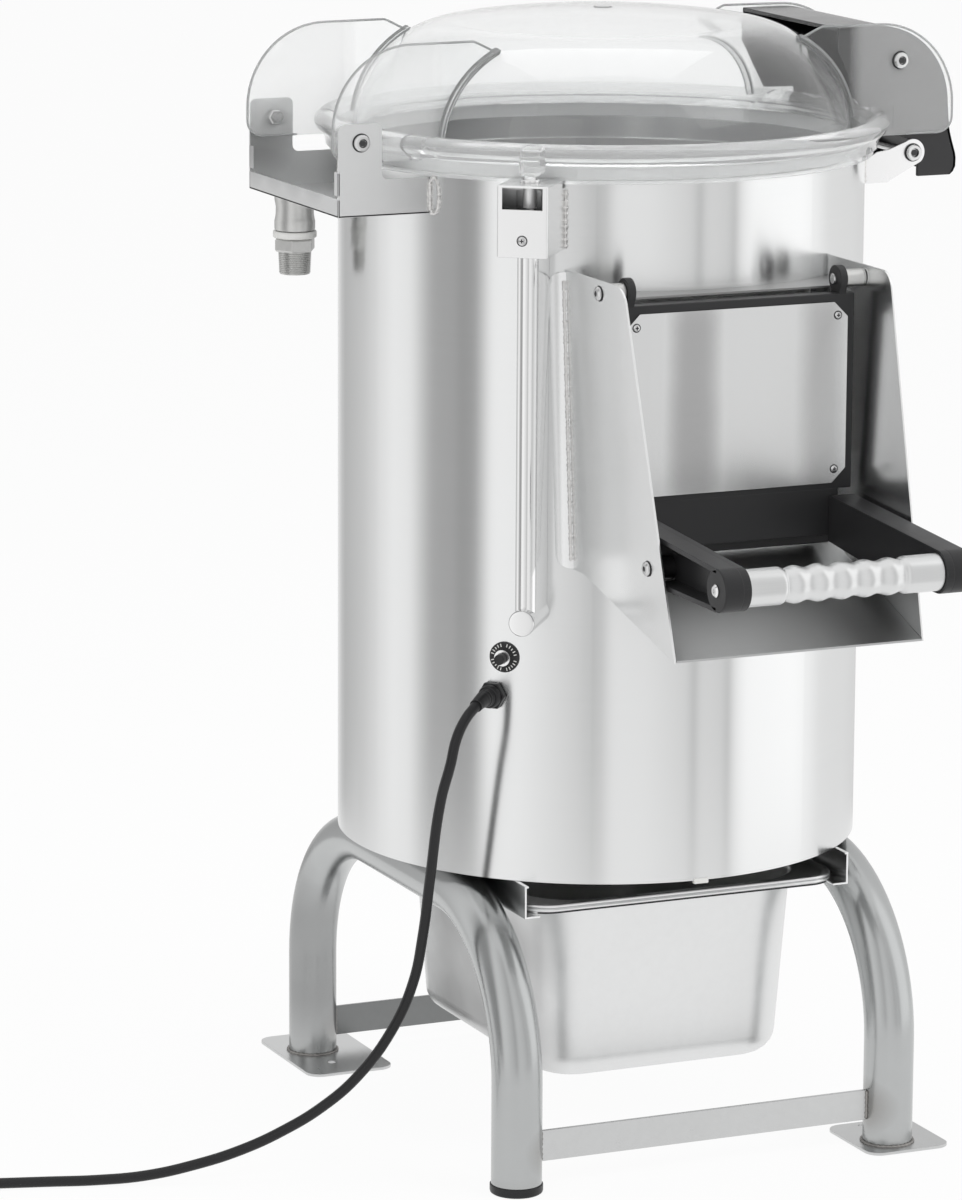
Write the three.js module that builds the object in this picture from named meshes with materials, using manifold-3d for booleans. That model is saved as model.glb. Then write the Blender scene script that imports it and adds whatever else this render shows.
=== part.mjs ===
// A floor-standing potato peeling machine, in millimetres, +Z up, its front towards -Y.
// It is laid out round the drum's axis, then moved so that the origin is under the middle of its box.

import * as THREE from "three";
import { mergeVertices } from "three/addons/utils/BufferGeometryUtils.js";
import Module from "manifold-3d";

const wasm = await Module();
wasm.setup();

// General allowances
const GAP = 0.3; // between pieces that touch
const RUN = 1.0; // clearance round a turning or sliding piece
const OVERCUT = 5; // how far a cutter runs past what it cuts
const SEAT = 1.0; // how deep joined shapes run into each other
const SHEET = 2; // folded sheet steel

// Drum
const DRUM_RADIUS = 254;
const DRUM_WALL = 1.5;
const DRUM_BOTTOM = 284.45;
const DRUM_TOP = 953;
const DRUM_SIDES = 60;
const WATER_SLOT = [80, 10]; // width and height, from the trough into the drum
const BASE_THICK = 3;
const CHAMBER_FLOOR_Z = 587.5;
const CHAMBER_FLOOR_THICK = 3;
const LINER_THICK = 3;
const LINER_DROP = 23; // below the drum's top
const LINER_TOP = DRUM_TOP - LINER_DROP;

// Stand
const LEG_INSET = 56.5; // of the legs' axes inside the drum
const LEG_X = DRUM_RADIUS - LEG_INSET;
const LEG_Y = 254;
const LEG_RADIUS = 24.15;
const LEG_WALL = 2;
const LEG_BEND_RADIUS = 154;
const BRACE_HEIGHT = 30;
const BRACE_THICK = 4;
const BRACE_FRONT_Z = 27;
const BRACE_REAR_Z = 16;
const FOOT_PLATE_THICK = 3;
const FOOT_PLATE_CORNER = 15;
const FOOT_PLATE_SHIFT = [8.5, 14]; // outwards or sideways, and towards the middle
const FRONT_PLATE = [88, 100];
const REAR_PLATE = [92, 148];
const FOOT_HOLE_RADIUS = 4.5;
const FOOT_HOLE_INSET = 51;
const CAP_HEIGHT = 9;
const CAP_LIP = 1.2;
const CAP_PLUG_HEIGHT = 22;

// Catch pan and its rails
const RAIL_LEG_SPACE = 1.85; // between a rail and the legs
const RAIL_X = LEG_X - LEG_RADIUS - RAIL_LEG_SPACE;
const RAIL_HEIGHT = 31.7;
const RAIL_FLANGE = 16;
const RAIL_FRONT_Y = -212;
const RAIL_REAR_Y = 196;
const PAN_SIDE_SPACE = 5.5; // between the pan's rim and a rail's web
const PAN_WIDTH = 2 * (RAIL_X - PAN_SIDE_SPACE);
const PAN_FRONT_Y = -208.7;
const PAN_REAR_Y = 187;
const PAN_RIM_THICK = 3.7;
const PAN_LIP = 21;
const PAN_BOTTOM_Z = 75;
const PAN_WALL = 1.2;
const PAN_CORNER = 62;
const PAN_TAPER = 13;
const PAN_BOTTOM_ROUND = 24;
const ROUND_MIDDLE_SHARE = 0.3; // where the bottom round has its middle edge

// Lid
const LID_RISE = 134.6; // of the dome's top above the drum
const LID_APEX_Z = DRUM_TOP + LID_RISE;
const LID_CROWN_RADIUS = 970;
const LID_KNUCKLE_RADIUS = 105;
const DOME_INSET = 14; // the dome's foot stands inside the drum by this much
const LID_DOME_RADIUS = DRUM_RADIUS - DOME_INSET;
const LID_WALL = 4;
const RIM_OVERHANG = 23;
const RIM_RADIUS = DRUM_RADIUS + RIM_OVERHANG;
const RIM_TOP_RISE = 35; // above the drum
const RIM_TOP_Z = DRUM_TOP + RIM_TOP_RISE;
const RIM_SKIRT_RISE = 4; // above the drum
const RIM_SKIRT_Z = DRUM_TOP + RIM_SKIRT_RISE;
const RIM_LIP_DROP = 2.5; // below the drum's top
const RIM_LIP_Z = DRUM_TOP - RIM_LIP_DROP;
const RIM_LIP_SPACE = 8;
const RIM_LIP_RADIUS = DRUM_RADIUS + RIM_LIP_SPACE;
const LID_SIDES = 36;
const SEAL_RADIUS = DRUM_RADIUS + GAP;
const SEAL_WIDTH = 6;
const SEAL_HEIGHT = 13.4;
const FIN_Y = 106.6;
const FIN_THICK = 4;
const FIN_OVERHANG = 48; // past the rim
const FIN_REACH = RIM_RADIUS + FIN_OVERHANG;
const FIN_TOP_LENGTH = 149;
const FIN_ROOT_LENGTH = 21; // its slanted end, inside the dome
const FIN_ROOT_DROP = 12.5;
const FIN_TOP_DROP = 15.1; // below the dome's top
const FIN_TOP_Z = LID_APEX_Z - FIN_TOP_DROP;
const FIN_BOTTOM_RISE = 11; // above the drum
const FIN_BOTTOM_Z = DRUM_TOP + FIN_BOTTOM_RISE;
const FIN_CURVE = 80;
const FIN_CORNER = 16;

// Lid hinge and water inlet
const HINGE_OUT = 20.5; // outside the rim
const HINGE_X = -RIM_RADIUS - HINGE_OUT;
const HINGE_RISE = 19; // above the fins' bottom edge
const HINGE_Z = FIN_BOTTOM_Z + HINGE_RISE;
const EAR_GAP = 0.8; // between an ear and its fin
const EAR_LEFT_INSET = 6.4; // inside the fin's edge
const EAR_RIGHT_INSET = 0.5; // inside the rim's edge
const EAR_LEFT = EAR_LEFT_INSET - FIN_REACH;
const EAR_RIGHT = EAR_RIGHT_INSET - RIM_RADIUS;
const EAR_TOP_RISE = 17.5; // above the hinge
const EAR_TOP = HINGE_Z + EAR_TOP_RISE;
const EAR_CORNER = 6;
const TROUGH_DROP = 39; // below the drum's top
const TROUGH_BOTTOM = DRUM_TOP - TROUGH_DROP;
const TROUGH_STEP_RISE = 34; // above the trough's floor
const TROUGH_STEP_Z = TROUGH_BOTTOM + TROUGH_STEP_RISE;
const TROUGH_LIP = 17;
const TAB_WIDTH = 10;
const TAB_RISE = 20; // above the trough's floor
const TAB_BOTTOM = TROUGH_BOTTOM + TAB_RISE;
const TAB_HEIGHT = 22;
const TAB_TOP = TAB_BOTTOM + TAB_HEIGHT;
const BOLT_RADIUS = 4;
const BOLT_HEAD_RADIUS = 8;
const BOLT_HEAD_THICK = 4.5;
const INLET_OUT = 34; // outside the drum
const INLET_X = -DRUM_RADIUS - INLET_OUT;
const INLET_Y = 76;
const SOCKET_RADIUS = 19.6;
const SOCKET_HEIGHT = 37;
const WASHER_RADIUS = 21;
const WASHER_THICK = 6.5;
const NUT_RADIUS = 20.5;
const NUT_HEIGHT = 13;
const THREAD_RADIUS = 16;
const THREAD_LENGTH = 22;
const INLET_BORE = 10.5;

// Lid latch
const LATCH_INSET = 11; // inside the rim
const LATCH_X = RIM_RADIUS - LATCH_INSET;
const LATCH_DROP = 36; // below the fins' top edge
const LATCH_Z = FIN_TOP_Z - LATCH_DROP;
const PIN_OUT = 6.5; // outside the rim
const PIN_X = RIM_RADIUS + PIN_OUT;
const PIN_DROP = 7; // below the drum's top
const PIN_Z = DRUM_TOP - PIN_DROP;
const PIN_RADIUS = 4;
const HANDLE_WALL = 4;
const HANDLE_TOP_INSET = 3;
const HANDLE_SIDE_CLEAR = 2.3;
// The handle's outer edge below its curve (x from the fin's edge, z from the drum's top)
const HANDLE_FOOT = [[-1.5, 22], [3, 2], [7, -11], [7, -24], [-1, -31]];
// The inner edge of its sides, upwards (x from the rim, z from the drum's top)
const HANDLE_INNER_EDGE = [
  [13.5, -31], [13.5, 2], [-15, 12], [-15, 39], [-50, 39], [-63, 65], [-76, 95],
];
const LATCH_EAR_REACH = 13;
const LATCH_BRACKET_DROP = 35; // below the drum's top
const LATCH_BRACKET_BOTTOM = DRUM_TOP - LATCH_BRACKET_DROP;
const LATCH_BRACKET_HEIGHT = 30;
const LATCH_BRACKET_TOP = LATCH_BRACKET_BOTTOM + LATCH_BRACKET_HEIGHT;

// Lid interlock, on a spoke of the drum
const INTERLOCK_ANGLE = -128;
const PLUNGER_OUT = 14; // outside the rim
const PLUNGER_R = RIM_RADIUS + PLUNGER_OUT;
const BOX_FRONT_DEPTH = 30; // in front of the plunger
const BOX_FRONT_R = PLUNGER_R + BOX_FRONT_DEPTH;
const BOX_WIDTH = 48;
const BOX_RISE = 2.5; // above the drum
const BOX_TOP = DRUM_TOP + BOX_RISE;
const BOX_HEIGHT = 66.5;
const BOX_BOTTOM = BOX_TOP - BOX_HEIGHT;
const WINDOW = [38, 20];
const PLUNGER_RADIUS = 5.5;
const PLUNGER_RISE = 3.8; // above the drum
const PLUNGER_TOP = DRUM_TOP + PLUNGER_RISE;
const PLUNGER_STROKE = 4;
const PLUNGER_COLLAR = 2.5; // how far its collar stands out
const PLUNGER_COLLAR_THICK = 3;
const SPRING_HEIGHT = 25;
const SPRING_RADIUS = 4.6;
const SPRING_WIRE = 0.9;
const SPRING_TURNS = 5;
const CURL_STEPS = 8;
const SWITCH_HALF = 13;
const LUG_WIDTH = 20;
const LUG_CLEAR = 4; // above the plunger
const CONDUIT_DEPTH = 52;
const CONDUIT_FRONT_R = DRUM_RADIUS + CONDUIT_DEPTH;
const CONDUIT_WIDTH = 20;
const CONDUIT_WALL = 1.5;
const BOSS_PROUD = 9;
const BOSS_R = CONDUIT_FRONT_R + BOSS_PROUD;
const BOSS_RADIUS = 12.3;
const BOSS_Z = 546.5;

// Circuit breaker and cable gland, on spokes of the drum
const BREAKER_ANGLE = -135;
const BREAKER_Z = 500.3;
const BREAKER_PLATE_RADIUS = 14.6;
const BREAKER_PLATE_THICK = 1.5;
const BREAKER_COLLAR_RADIUS = 8;
const BREAKER_COLLAR_LENGTH = 8;
const BREAKER_DEPTH = 32;
const BUTTON_RADIUS = 5;
const BUTTON_PROUD = 4;
const BUTTON_LENGTH = 12; // inside its collar
const BUTTON_STROKE = 3;
const GLAND_ANGLE = -137.5;
const GLAND_Z = 463;
const GLAND_HEX_RADIUS = 13.8;
const GLAND_LENGTH = 14;
const GLAND_STEM_RADIUS = 8;
const GLAND_STEM_LENGTH = 12;

// Mains cord
const CORD_RADIUS = 5;
const CORD_SIDES = 8;
const CORD_STEPS = 42;
const CORD_ROUTE = [
  [-198.04, -181.47, 463], [-206.9, -189.58, 463], [-219.3, -200.9, 459.7], [-233.4, -209.9, 450.3],
  [-243.9, -214.4, 434.4], [-250, -214.8, 410.5], [-256.4, -208, 376.6], [-260.4, -191.6, 296.2],
  [-263.2, -181, 237.8], [-270, -174, 191.2], [-288, -166, 145], [-319.3, -155, 99.3],
  [-351.1, -145, 70.6], [-385.5, -134, 48.8], [-424, -121.5, 30.5], [-466, -108, 17], [-512, -95, 8],
  [-556.4, -82, 5.3], [-599.9, -69, 5.3], [-643.2, -56, 5.3], [-686.3, -43, 5.3],
  [-705.16, -37.27, 5.3], [-714.73, -34.38, 5.3],
];
const COIL_CENTRE = [-742.3, -90.3];
const COIL_OUTER = 61.5; // radius of its first turn
const COIL_START_ANGLE = 73.2;
const COIL_TURNS = 3;
const COIL_GAP = 1;
const COIL_TAIL = 42;
const LOOP_STEPS = 24;
const PLUG_LENGTH = 36;
const PLUG_RADIUS = 19;
const PLUG_PIN_RADIUS = 2.4;
const PLUG_PIN_LENGTH = 19;
const PLUG_PIN_SPACING = 19;
const PLUG_TAIL = 16;

// Chute
const CHUTE_WIDTH_SHARE = 0.53858; // half its width at the top over the drum's radius
const CHUTE_NARROWING = 9.6; // of each side, from top to foot
const CHUTE_TOP_X = CHUTE_WIDTH_SHARE * DRUM_RADIUS; // outer face of a side at the chute's top
const CHUTE_FOOT_X = CHUTE_TOP_X - CHUTE_NARROWING; // and at its foot
const CHUTE_TOP_SPACE = 82.5; // below the drum's top
const CHUTE_TOP_Z = DRUM_TOP - CHUTE_TOP_SPACE;
const CHUTE_FOOT_Z = 541.5;
const CHUTE_TOP_DEPTH = 93; // in front of the drum, as are the next four
const CHUTE_FOOT_DEPTH = 183;
const HINGE_DEPTH = 36;
const STUD_DEPTH = 130;
const GRIP_DEPTH = 259;
const CHUTE_TOP_Y = -DRUM_RADIUS - CHUTE_TOP_DEPTH;
const CHUTE_FOOT_Y = -DRUM_RADIUS - CHUTE_FOOT_DEPTH;
const CHUTE_REAR_INSET = 11; // behind the drum's front
const CHUTE_REAR_Y = CHUTE_REAR_INSET - DRUM_RADIUS;
const CHUTE_REAR_Z = 588;
const FLOOR_REAR_INSET = 4; // a point of the floor's underside
const FLOOR_REAR_Z = 603;
const CHUTE_TOP_CORNER = 21;
const FLANGE_WIDTH = 11;
const FLANGE_TOP_INSET = 18;
const MOUTH_INSET = 24.8; // inside the chute's sides
const MOUTH_HALF_WIDTH = CHUTE_TOP_X - MOUTH_INSET;
const MOUTH_BOTTOM = 604;
const MOUTH_DROP = 26.5; // below the chute's top
const MOUTH_TOP = CHUTE_TOP_Z - MOUTH_DROP;
const ROOF_DEPTH = 20;
const ROOF_SPACE = 4; // above the mouth
const ROOF_Z = MOUTH_TOP + ROOF_SPACE;

// Door
const DOOR_HINGE_Y = -DRUM_RADIUS - HINGE_DEPTH;
const DOOR_HINGE_DROP = 12; // below the chute's top
const DOOR_HINGE_Z = CHUTE_TOP_Z - DOOR_HINGE_DROP;
const DOOR_FACE_STEP = 8.5; // in front of the hinge
const DOOR_FACE_Y = DOOR_HINGE_Y - DOOR_FACE_STEP;
const DOOR_THICK = 14;
const DOOR_SIDE_SPACE = 15.3; // inside the chute's sides
const DOOR_HALF_WIDTH = CHUTE_TOP_X - DOOR_SIDE_SPACE;
const DOOR_DROP = 24.5; // below the chute's top
const DOOR_TOP = CHUTE_TOP_Z - DOOR_DROP;
const DOOR_STEP_Z = 661.8;
const DOOR_FOOT_Z = 618;
const DOOR_STEP_WIDTH = 13.5;
const DOOR_FOOT_HALF_WIDTH = DOOR_HALF_WIDTH - DOOR_STEP_WIDTH;
const PLUG_DEPTH = 27; // how far the door's back block reaches towards the mouth
const BLOCK_CLEAR = 6;
const BLOCK_LIFT = 4;
const PLATE_THICK = 1.5;
const PLATE_SIDE_INSET = 7.5;
const PLATE_HALF_WIDTH = DOOR_HALF_WIDTH - PLATE_SIDE_INSET;
const PLATE_STEP_SPACE = 5.7; // above the door's step
const PLATE_BOTTOM = DOOR_STEP_Z + PLATE_STEP_SPACE;
const PLATE_TOP_INSET = 7.5;
const PLATE_TOP = DOOR_TOP - PLATE_TOP_INSET;
const PLATE_CHAMFER = 14;
const DOOR_EAR_INSET = 16.5;
const DOOR_EAR_X = DOOR_HALF_WIDTH - DOOR_EAR_INSET;
const DOOR_EAR_THICK = 7.5;
const DOOR_EAR_RADIUS = 13;
const DOOR_PIN_RADIUS = 4;
const DOOR_SPACER_RADIUS = 8.5;
const PIN_HEAD_RADIUS = 6.5;
const PIN_HEAD_THICK = 4;
const ARM_SIDE_SPACE = 3.2; // inside the chute's sides at their foot
const ARM_WIDTH = 26;
const ARM_OUTER_X = CHUTE_FOOT_X - ARM_SIDE_SPACE;
const ARM_INNER_X = ARM_OUTER_X - ARM_WIDTH;
const ARM_WEB = 8;
const ARM_PLATE_SPACE = 11.5; // below the door's cover plate
const ARM_ROOT_HEIGHT = 44;
const ARM_TIP_DROP = 33; // of the grip, below the arm's top at the door
const ARM_ROOT_TOP = PLATE_BOTTOM - ARM_PLATE_SPACE;
const ARM_ROOT_BOTTOM = ARM_ROOT_TOP - ARM_ROOT_HEIGHT;
const ARM_TIP_Y = -DRUM_RADIUS - GRIP_DEPTH;
const ARM_TIP_Z = ARM_ROOT_TOP - ARM_TIP_DROP;
const ARM_TIP_RADIUS = 20;
const STUD_DROP = 3.6; // below the grip
const STUD_Y = -DRUM_RADIUS - STUD_DEPTH;
const STUD_Z = ARM_TIP_Z - STUD_DROP;
const STUD_RADIUS = 5.2;
const STUD_SHANK = 3;
const ARM_BORDER = 5;
const GRIP_RADIUS = 17.2;
const GRIP_RIDGES = 5;
const GRIP_RIDGE_LENGTH = 23.5;
const GRIP_RIDGE_DEPTH = 2.4;

// Drive, inside the drum
const DISC_SIDE_SPACE = 11.2; // between the disc and the liner
const DISC_THICK = 7;
const DISC_LIFT = 4;
const HUMP_COUNT = 3;
const HUMP_HEIGHT = 13;
const HUMP_WIDTH = 44;
const SHAFT_RADIUS = 15;
const BEARING_RADIUS = 42;
const BEARING_LENGTH = 90;
const BELT_Z = 330;
const BELT_HEIGHT = 20;
const BELT_THICK = 6;
const DRIVEN_RADIUS = 84;
const DRIVER_RADIUS = 28;
const MOTOR_ANGLE = 130;
const MOTOR_WALL_SPACE = 21.2; // inside the drum
const MOTOR_RADIUS = 66;
const MOTOR_LENGTH = 170;
const MOTOR_SHAFT_RADIUS = 9;
const SPOUT_X = 64;
const SPOUT_Y = 116;
const SPOUT_RADIUS = 38;
const SPOUT_WALL = 2;
const SPOUT_DROP = 20; // how far it hangs below the drum

// Sizes that follow from those above
const LEG_TOP = DRUM_BOTTOM - GAP;
const LEG_AXIS_TOP = LEG_TOP - LEG_RADIUS;
const CHAMBER_TOP = CHAMBER_FLOOR_Z + CHAMBER_FLOOR_THICK;
const DRUM_INSIDE = DRUM_RADIUS - DRUM_WALL - GAP;
const ON_DRUM = DRUM_RADIUS + GAP;
const MOTOR_DISTANCE = DRUM_INSIDE - MOTOR_RADIUS - MOTOR_WALL_SPACE;
const DISC_RADIUS = DRUM_INSIDE - LINER_THICK - DISC_SIDE_SPACE;
const SEAL_BOTTOM = DRUM_TOP + GAP;
const LID_SEAT_Z = SEAL_BOTTOM + SEAL_HEIGHT + GAP;
const FIN_INSIDE = FIN_Y - FIN_THICK / 2;
const FIN_OUTSIDE = FIN_Y + FIN_THICK / 2;
const EAR_INSIDE = FIN_OUTSIDE + EAR_GAP;
const EAR_OUTSIDE = EAR_INSIDE + SHEET;
const CHUTE_SLOPE = (CHUTE_TOP_X - CHUTE_FOOT_X) / (CHUTE_TOP_Z - CHUTE_FOOT_Z);

const STEEL = { color: 0xc9cac9, metalness: 0.9, roughness: 0.35 };
const DARK_STEEL = { color: 0x8d8f90, metalness: 0.9, roughness: 0.45 };
const BLACK = { color: 0x1c1c1d, metalness: 0.0, roughness: 0.5 };
const CLEAR = { color: 0xeef1f1, metalness: 0.0, roughness: 0.1, transparent: true, opacity: 0.3 };
const GRIT = { color: 0x4a4a4a, metalness: 0.0, roughness: 0.95 };
const WHITE = { color: 0xf0f0ee, metalness: 0.0, roughness: 0.5 };

// Shapes. Each returns a plain geometry in the drum's frame.

const quarter = Math.PI / 2;
const ROUND = 16; // sides of a small round piece
const SMOOTH = 24; // sides of a larger turned piece
const FEW = 12; // sides of a screw or a pin
const COIL_SIDES = 6;

// Shares the points, drops flat triangles and turns the faces outwards.
function tidy(geometry) {
  const bare = new THREE.BufferGeometry();
  bare.setAttribute("position", geometry.getAttribute("position").clone());
  if (geometry.index) bare.setIndex(geometry.index.clone());
  const merged = mergeVertices(bare);
  const place = merged.getAttribute("position");
  const corner = [new THREE.Vector3(), new THREE.Vector3(), new THREE.Vector3()];
  const kept = [];
  let volume = 0;
  for (let i = 0; i < merged.index.count; i += 3) {
    const [a, b, c] = [0, 1, 2].map((k) => merged.index.getX(i + k));
    if (a === b || b === c || c === a) continue;
    kept.push(a, b, c);
    [a, b, c].forEach((v, k) => corner[k].fromBufferAttribute(place, v));
    volume += corner[0].dot(corner[1].clone().cross(corner[2]));
  }
  if (volume < 0) {
    for (let i = 0; i < kept.length; i += 3) {
      [kept[i], kept[i + 1]] = [kept[i + 1], kept[i]];
    }
  }
  merged.setIndex(kept);
  return merged;
}

function toSolid(geometry) {
  const closed = tidy(geometry);
  const vertProperties = new Float32Array(closed.getAttribute("position").array);
  const triVerts = new Uint32Array(closed.index.array);
  return new wasm.Manifold(new wasm.Mesh({ numProp: 3, vertProperties, triVerts }));
}

function toGeometry(solid) {
  const mesh = solid.getMesh();
  const geometry = new THREE.BufferGeometry();
  geometry.setAttribute("position", new THREE.BufferAttribute(mesh.vertProperties, 3));
  geometry.setIndex(new THREE.BufferAttribute(mesh.triVerts, 1));
  return geometry;
}

const join = (...parts) => toGeometry(parts.map(toSolid).reduce((a, b) => a.add(b)));
const cut = (body, ...cutters) =>
  toGeometry(cutters.map(toSolid).reduce((a, b) => a.subtract(b), toSolid(body)));
const overlap = (a, b) => toGeometry(toSolid(a).intersect(toSolid(b)));

function block([x0, x1], [y0, y1], [z0, z1]) {
  const geometry = new THREE.BoxGeometry(x1 - x0, y1 - y0, z1 - z0);
  return geometry.translate((x0 + x1) / 2, (y0 + y1) / 2, (z0 + z1) / 2);
}

// Turns a closed profile of [radius, height] round the Z axis.
function spin(profile, sides = DRUM_SIDES) {
  const points = [...profile, profile[0]].map(([r, z]) => new THREE.Vector2(r, z));
  return new THREE.LatheGeometry(points, sides).rotateX(quarter);
}

const ring = (outer, inner, z0, z1, sides) =>
  spin([[inner, z0], [outer, z0], [outer, z1], [inner, z1]], sides);

const disc = (radius, z0, z1, sides) => spin([[0, z0], [radius, z0], [radius, z1], [0, z1]], sides);

// A turned piece along X or Y: steps of [radius, from, to], from one end to the other.
function turned(axis, steps, [x, y, z], sides = ROUND) {
  const profile = [[0, steps[0][1]]];
  for (const [radius, from, to] of steps) profile.push([radius, from], [radius, to]);
  profile.push([0, steps[steps.length - 1][2]]);
  const geometry = spin(profile, sides);
  if (axis === "x") geometry.rotateY(quarter);
  if (axis === "y") geometry.rotateX(-quarter);
  return geometry.translate(x, y, z);
}

const BASIS = {
  x: new THREE.Matrix4().makeBasis(
    new THREE.Vector3(0, 1, 0), new THREE.Vector3(0, 0, 1), new THREE.Vector3(1, 0, 0)),
  y: new THREE.Matrix4().makeBasis(
    new THREE.Vector3(1, 0, 0), new THREE.Vector3(0, 0, 1), new THREE.Vector3(0, 1, 0)),
  z: new THREE.Matrix4(),
};

// Extrudes an outline along an axis. The outline is [y, z], [x, z] or [x, y].
function slab(axis, outline, from, to, holes = []) {
  const shape = new THREE.Shape(outline.map(([a, b]) => new THREE.Vector2(a, b)));
  shape.holes = holes.map((hole) => new THREE.Path(hole.map(([a, b]) => new THREE.Vector2(a, b))));
  const options = { depth: to - from, bevelEnabled: false, steps: 1 };
  const geometry = new THREE.ExtrudeGeometry(shape, options).translate(0, 0, from);
  return geometry.applyMatrix4(BASIS[axis]);
}

// Points of an arc about a centre, its angles in degrees.
function arc([a, b], radius, from, to, steps = 6) {
  return Array.from({ length: steps + 1 }, (_, i) => {
    const angle = THREE.MathUtils.degToRad(from + ((to - from) * i) / steps);
    return [a + radius * Math.cos(angle), b + radius * Math.sin(angle)];
  });
}

const circle = (radius, sides = ROUND) => arc([0, 0], radius, 0, 360, sides).slice(0, sides);

const roundedBox = ([a0, a1], [b0, b1], radius, steps = 4) => [
  ...arc([a1 - radius, b0 + radius], radius, -90, 0, steps),
  ...arc([a1 - radius, b1 - radius], radius, 0, 90, steps),
  ...arc([a0 + radius, b1 - radius], radius, 90, 180, steps),
  ...arc([a0 + radius, b0 + radius], radius, 180, 270, steps),
];

// A path through given points with one step for each stretch between them.
class StepPath extends THREE.Curve {
  constructor(points) {
    super();
    this.points = points;
  }
  getPointAt(u, target = new THREE.Vector3()) {
    const last = this.points.length - 1;
    const i = Math.min(Math.floor(u * last + 1e-6), last - 1);
    return target.lerpVectors(this.points[i], this.points[i + 1], u * last - i);
  }
  getTangentAt(u, target = new THREE.Vector3()) {
    const last = this.points.length - 1;
    const i = Math.round(u * last);
    const before = this.points[Math.max(i - 1, 0)];
    const after = this.points[Math.min(i + 1, last)];
    return target.subVectors(after, before).normalize();
  }
}

// Sweeps a section along a list of points.
function sweep(points, section, hole) {
  const shape = new THREE.Shape(section.map(([a, b]) => new THREE.Vector2(a, b)));
  if (hole) shape.holes = [new THREE.Path(hole.map(([a, b]) => new THREE.Vector2(a, b)))];
  const path = new StepPath(points);
  return new THREE.ExtrudeGeometry(shape, { steps: points.length - 1, extrudePath: path });
}

// Skins closed loops of equally many points, one on the next, and closes both ends.
function skin(loops) {
  const count = loops[0].length;
  const positions = loops.flat().flatMap(([x, y, z]) => [x, y, z]);
  const index = [];
  for (let k = 0; k + 1 < loops.length; k++) {
    for (let i = 0; i < count; i++) {
      const [a, b] = [k * count + i, k * count + ((i + 1) % count)];
      index.push(a, b, b + count, a, b + count, a + count);
    }
  }
  const last = (loops.length - 1) * count;
  for (let i = 1; i + 1 < count; i++) index.push(0, i + 1, i, last, last + i, last + i + 1);
  const geometry = new THREE.BufferGeometry();
  geometry.setAttribute("position", new THREE.Float32BufferAttribute(positions, 3));
  geometry.setIndex(index);
  return geometry;
}

const machine = new THREE.Group();

function add(name, look, geometry) {
  const mesh = new THREE.Mesh(tidy(geometry), new THREE.MeshStandardMaterial(look));
  mesh.name = name;
  machine.add(mesh);
  return mesh;
}

// Adds a piece drawn facing -Y on the front of the drum, turned to stand on a spoke of it.
// A fitted piece is cut back to the drum's curve.
function addOnSpoke(name, look, geometry, angle, fitted = false) {
  const placed = geometry.rotateZ(THREE.MathUtils.degToRad(angle) + quarter);
  add(name, look, fitted ? cut(placed, drumCutter()) : placed);
}

const drumCutter = () => disc(ON_DRUM, 0, LID_APEX_Z);

// Stand

function legPoints(x, footZ) {
  const bendFrom = LEG_AXIS_TOP - LEG_BEND_RADIUS;
  const bendY = LEG_Y - LEG_BEND_RADIUS;
  const front = arc([-bendY, bendFrom], LEG_BEND_RADIUS, 180, 90, 6);
  const rear = arc([bendY, bendFrom], LEG_BEND_RADIUS, 90, 0, 6);
  const points = [[-LEG_Y, footZ.front], ...front, ...rear, [LEG_Y, footZ.rear]];
  return points.map(([y, z]) => new THREE.Vector3(x, y, z));
}

function addStand() {
  const onPlate = FOOT_PLATE_THICK + GAP;
  const onCap = CAP_HEIGHT + GAP;
  const feet = { left: { front: onCap, rear: onPlate }, right: { front: onPlate, rear: onCap } };
  for (const [side, sign] of [["left", -1], ["right", 1]]) {
    const points = legPoints(sign * LEG_X, feet[side]);
    const tube = sweep(points, circle(LEG_RADIUS, 14), circle(LEG_RADIUS - LEG_WALL, 14));
    add(`leg_arch_${side}`, STEEL, tube);
  }
  const braceEnd = LEG_X - LEG_RADIUS - GAP;
  for (const [end, y, z] of [["front", -LEG_Y, BRACE_FRONT_Z], ["rear", LEG_Y, BRACE_REAR_Z]]) {
    const depth = [y - BRACE_THICK / 2, y + BRACE_THICK / 2];
    add(`brace_${end}`, STEEL, block([-braceEnd, braceEnd], depth, [z, z + BRACE_HEIGHT]));
  }
  addFootPlate("front", FRONT_PLATE, LEG_X, -LEG_Y, 1);
  addFootPlate("rear", REAR_PLATE, -LEG_X, LEG_Y, -1);
  addFootCap("front", -LEG_X, -LEG_Y);
  addFootCap("rear", LEG_X, LEG_Y);
}

function addFootPlate(end, [width, length], legX, legY, inwards) {
  const x = legX + FOOT_PLATE_SHIFT[0];
  const y = legY + inwards * FOOT_PLATE_SHIFT[1];
  const outline = roundedBox(
    [x - width / 2, x + width / 2], [y - length / 2, y + length / 2], FOOT_PLATE_CORNER);
  const holeY = legY + inwards * FOOT_HOLE_INSET;
  const hole = circle(FOOT_HOLE_RADIUS, FEW).map(([a, b]) => [legX + a, holeY + b]);
  add(`foot_plate_${end}`, STEEL, slab("z", outline, 0, FOOT_PLATE_THICK, [hole]));
}

function addFootCap(end, x, y) {
  const outer = LEG_RADIUS + CAP_LIP;
  const plug = LEG_RADIUS - LEG_WALL - RUN;
  const top = CAP_HEIGHT + CAP_PLUG_HEIGHT;
  const profile = [[0, 0], [outer, 0], [outer, CAP_HEIGHT], [plug, CAP_HEIGHT], [plug, top], [0, top]];
  add(`foot_cap_${end}`, BLACK, spin(profile, ROUND).translate(x, y, 0));
}

// Catch pan and rails

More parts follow.
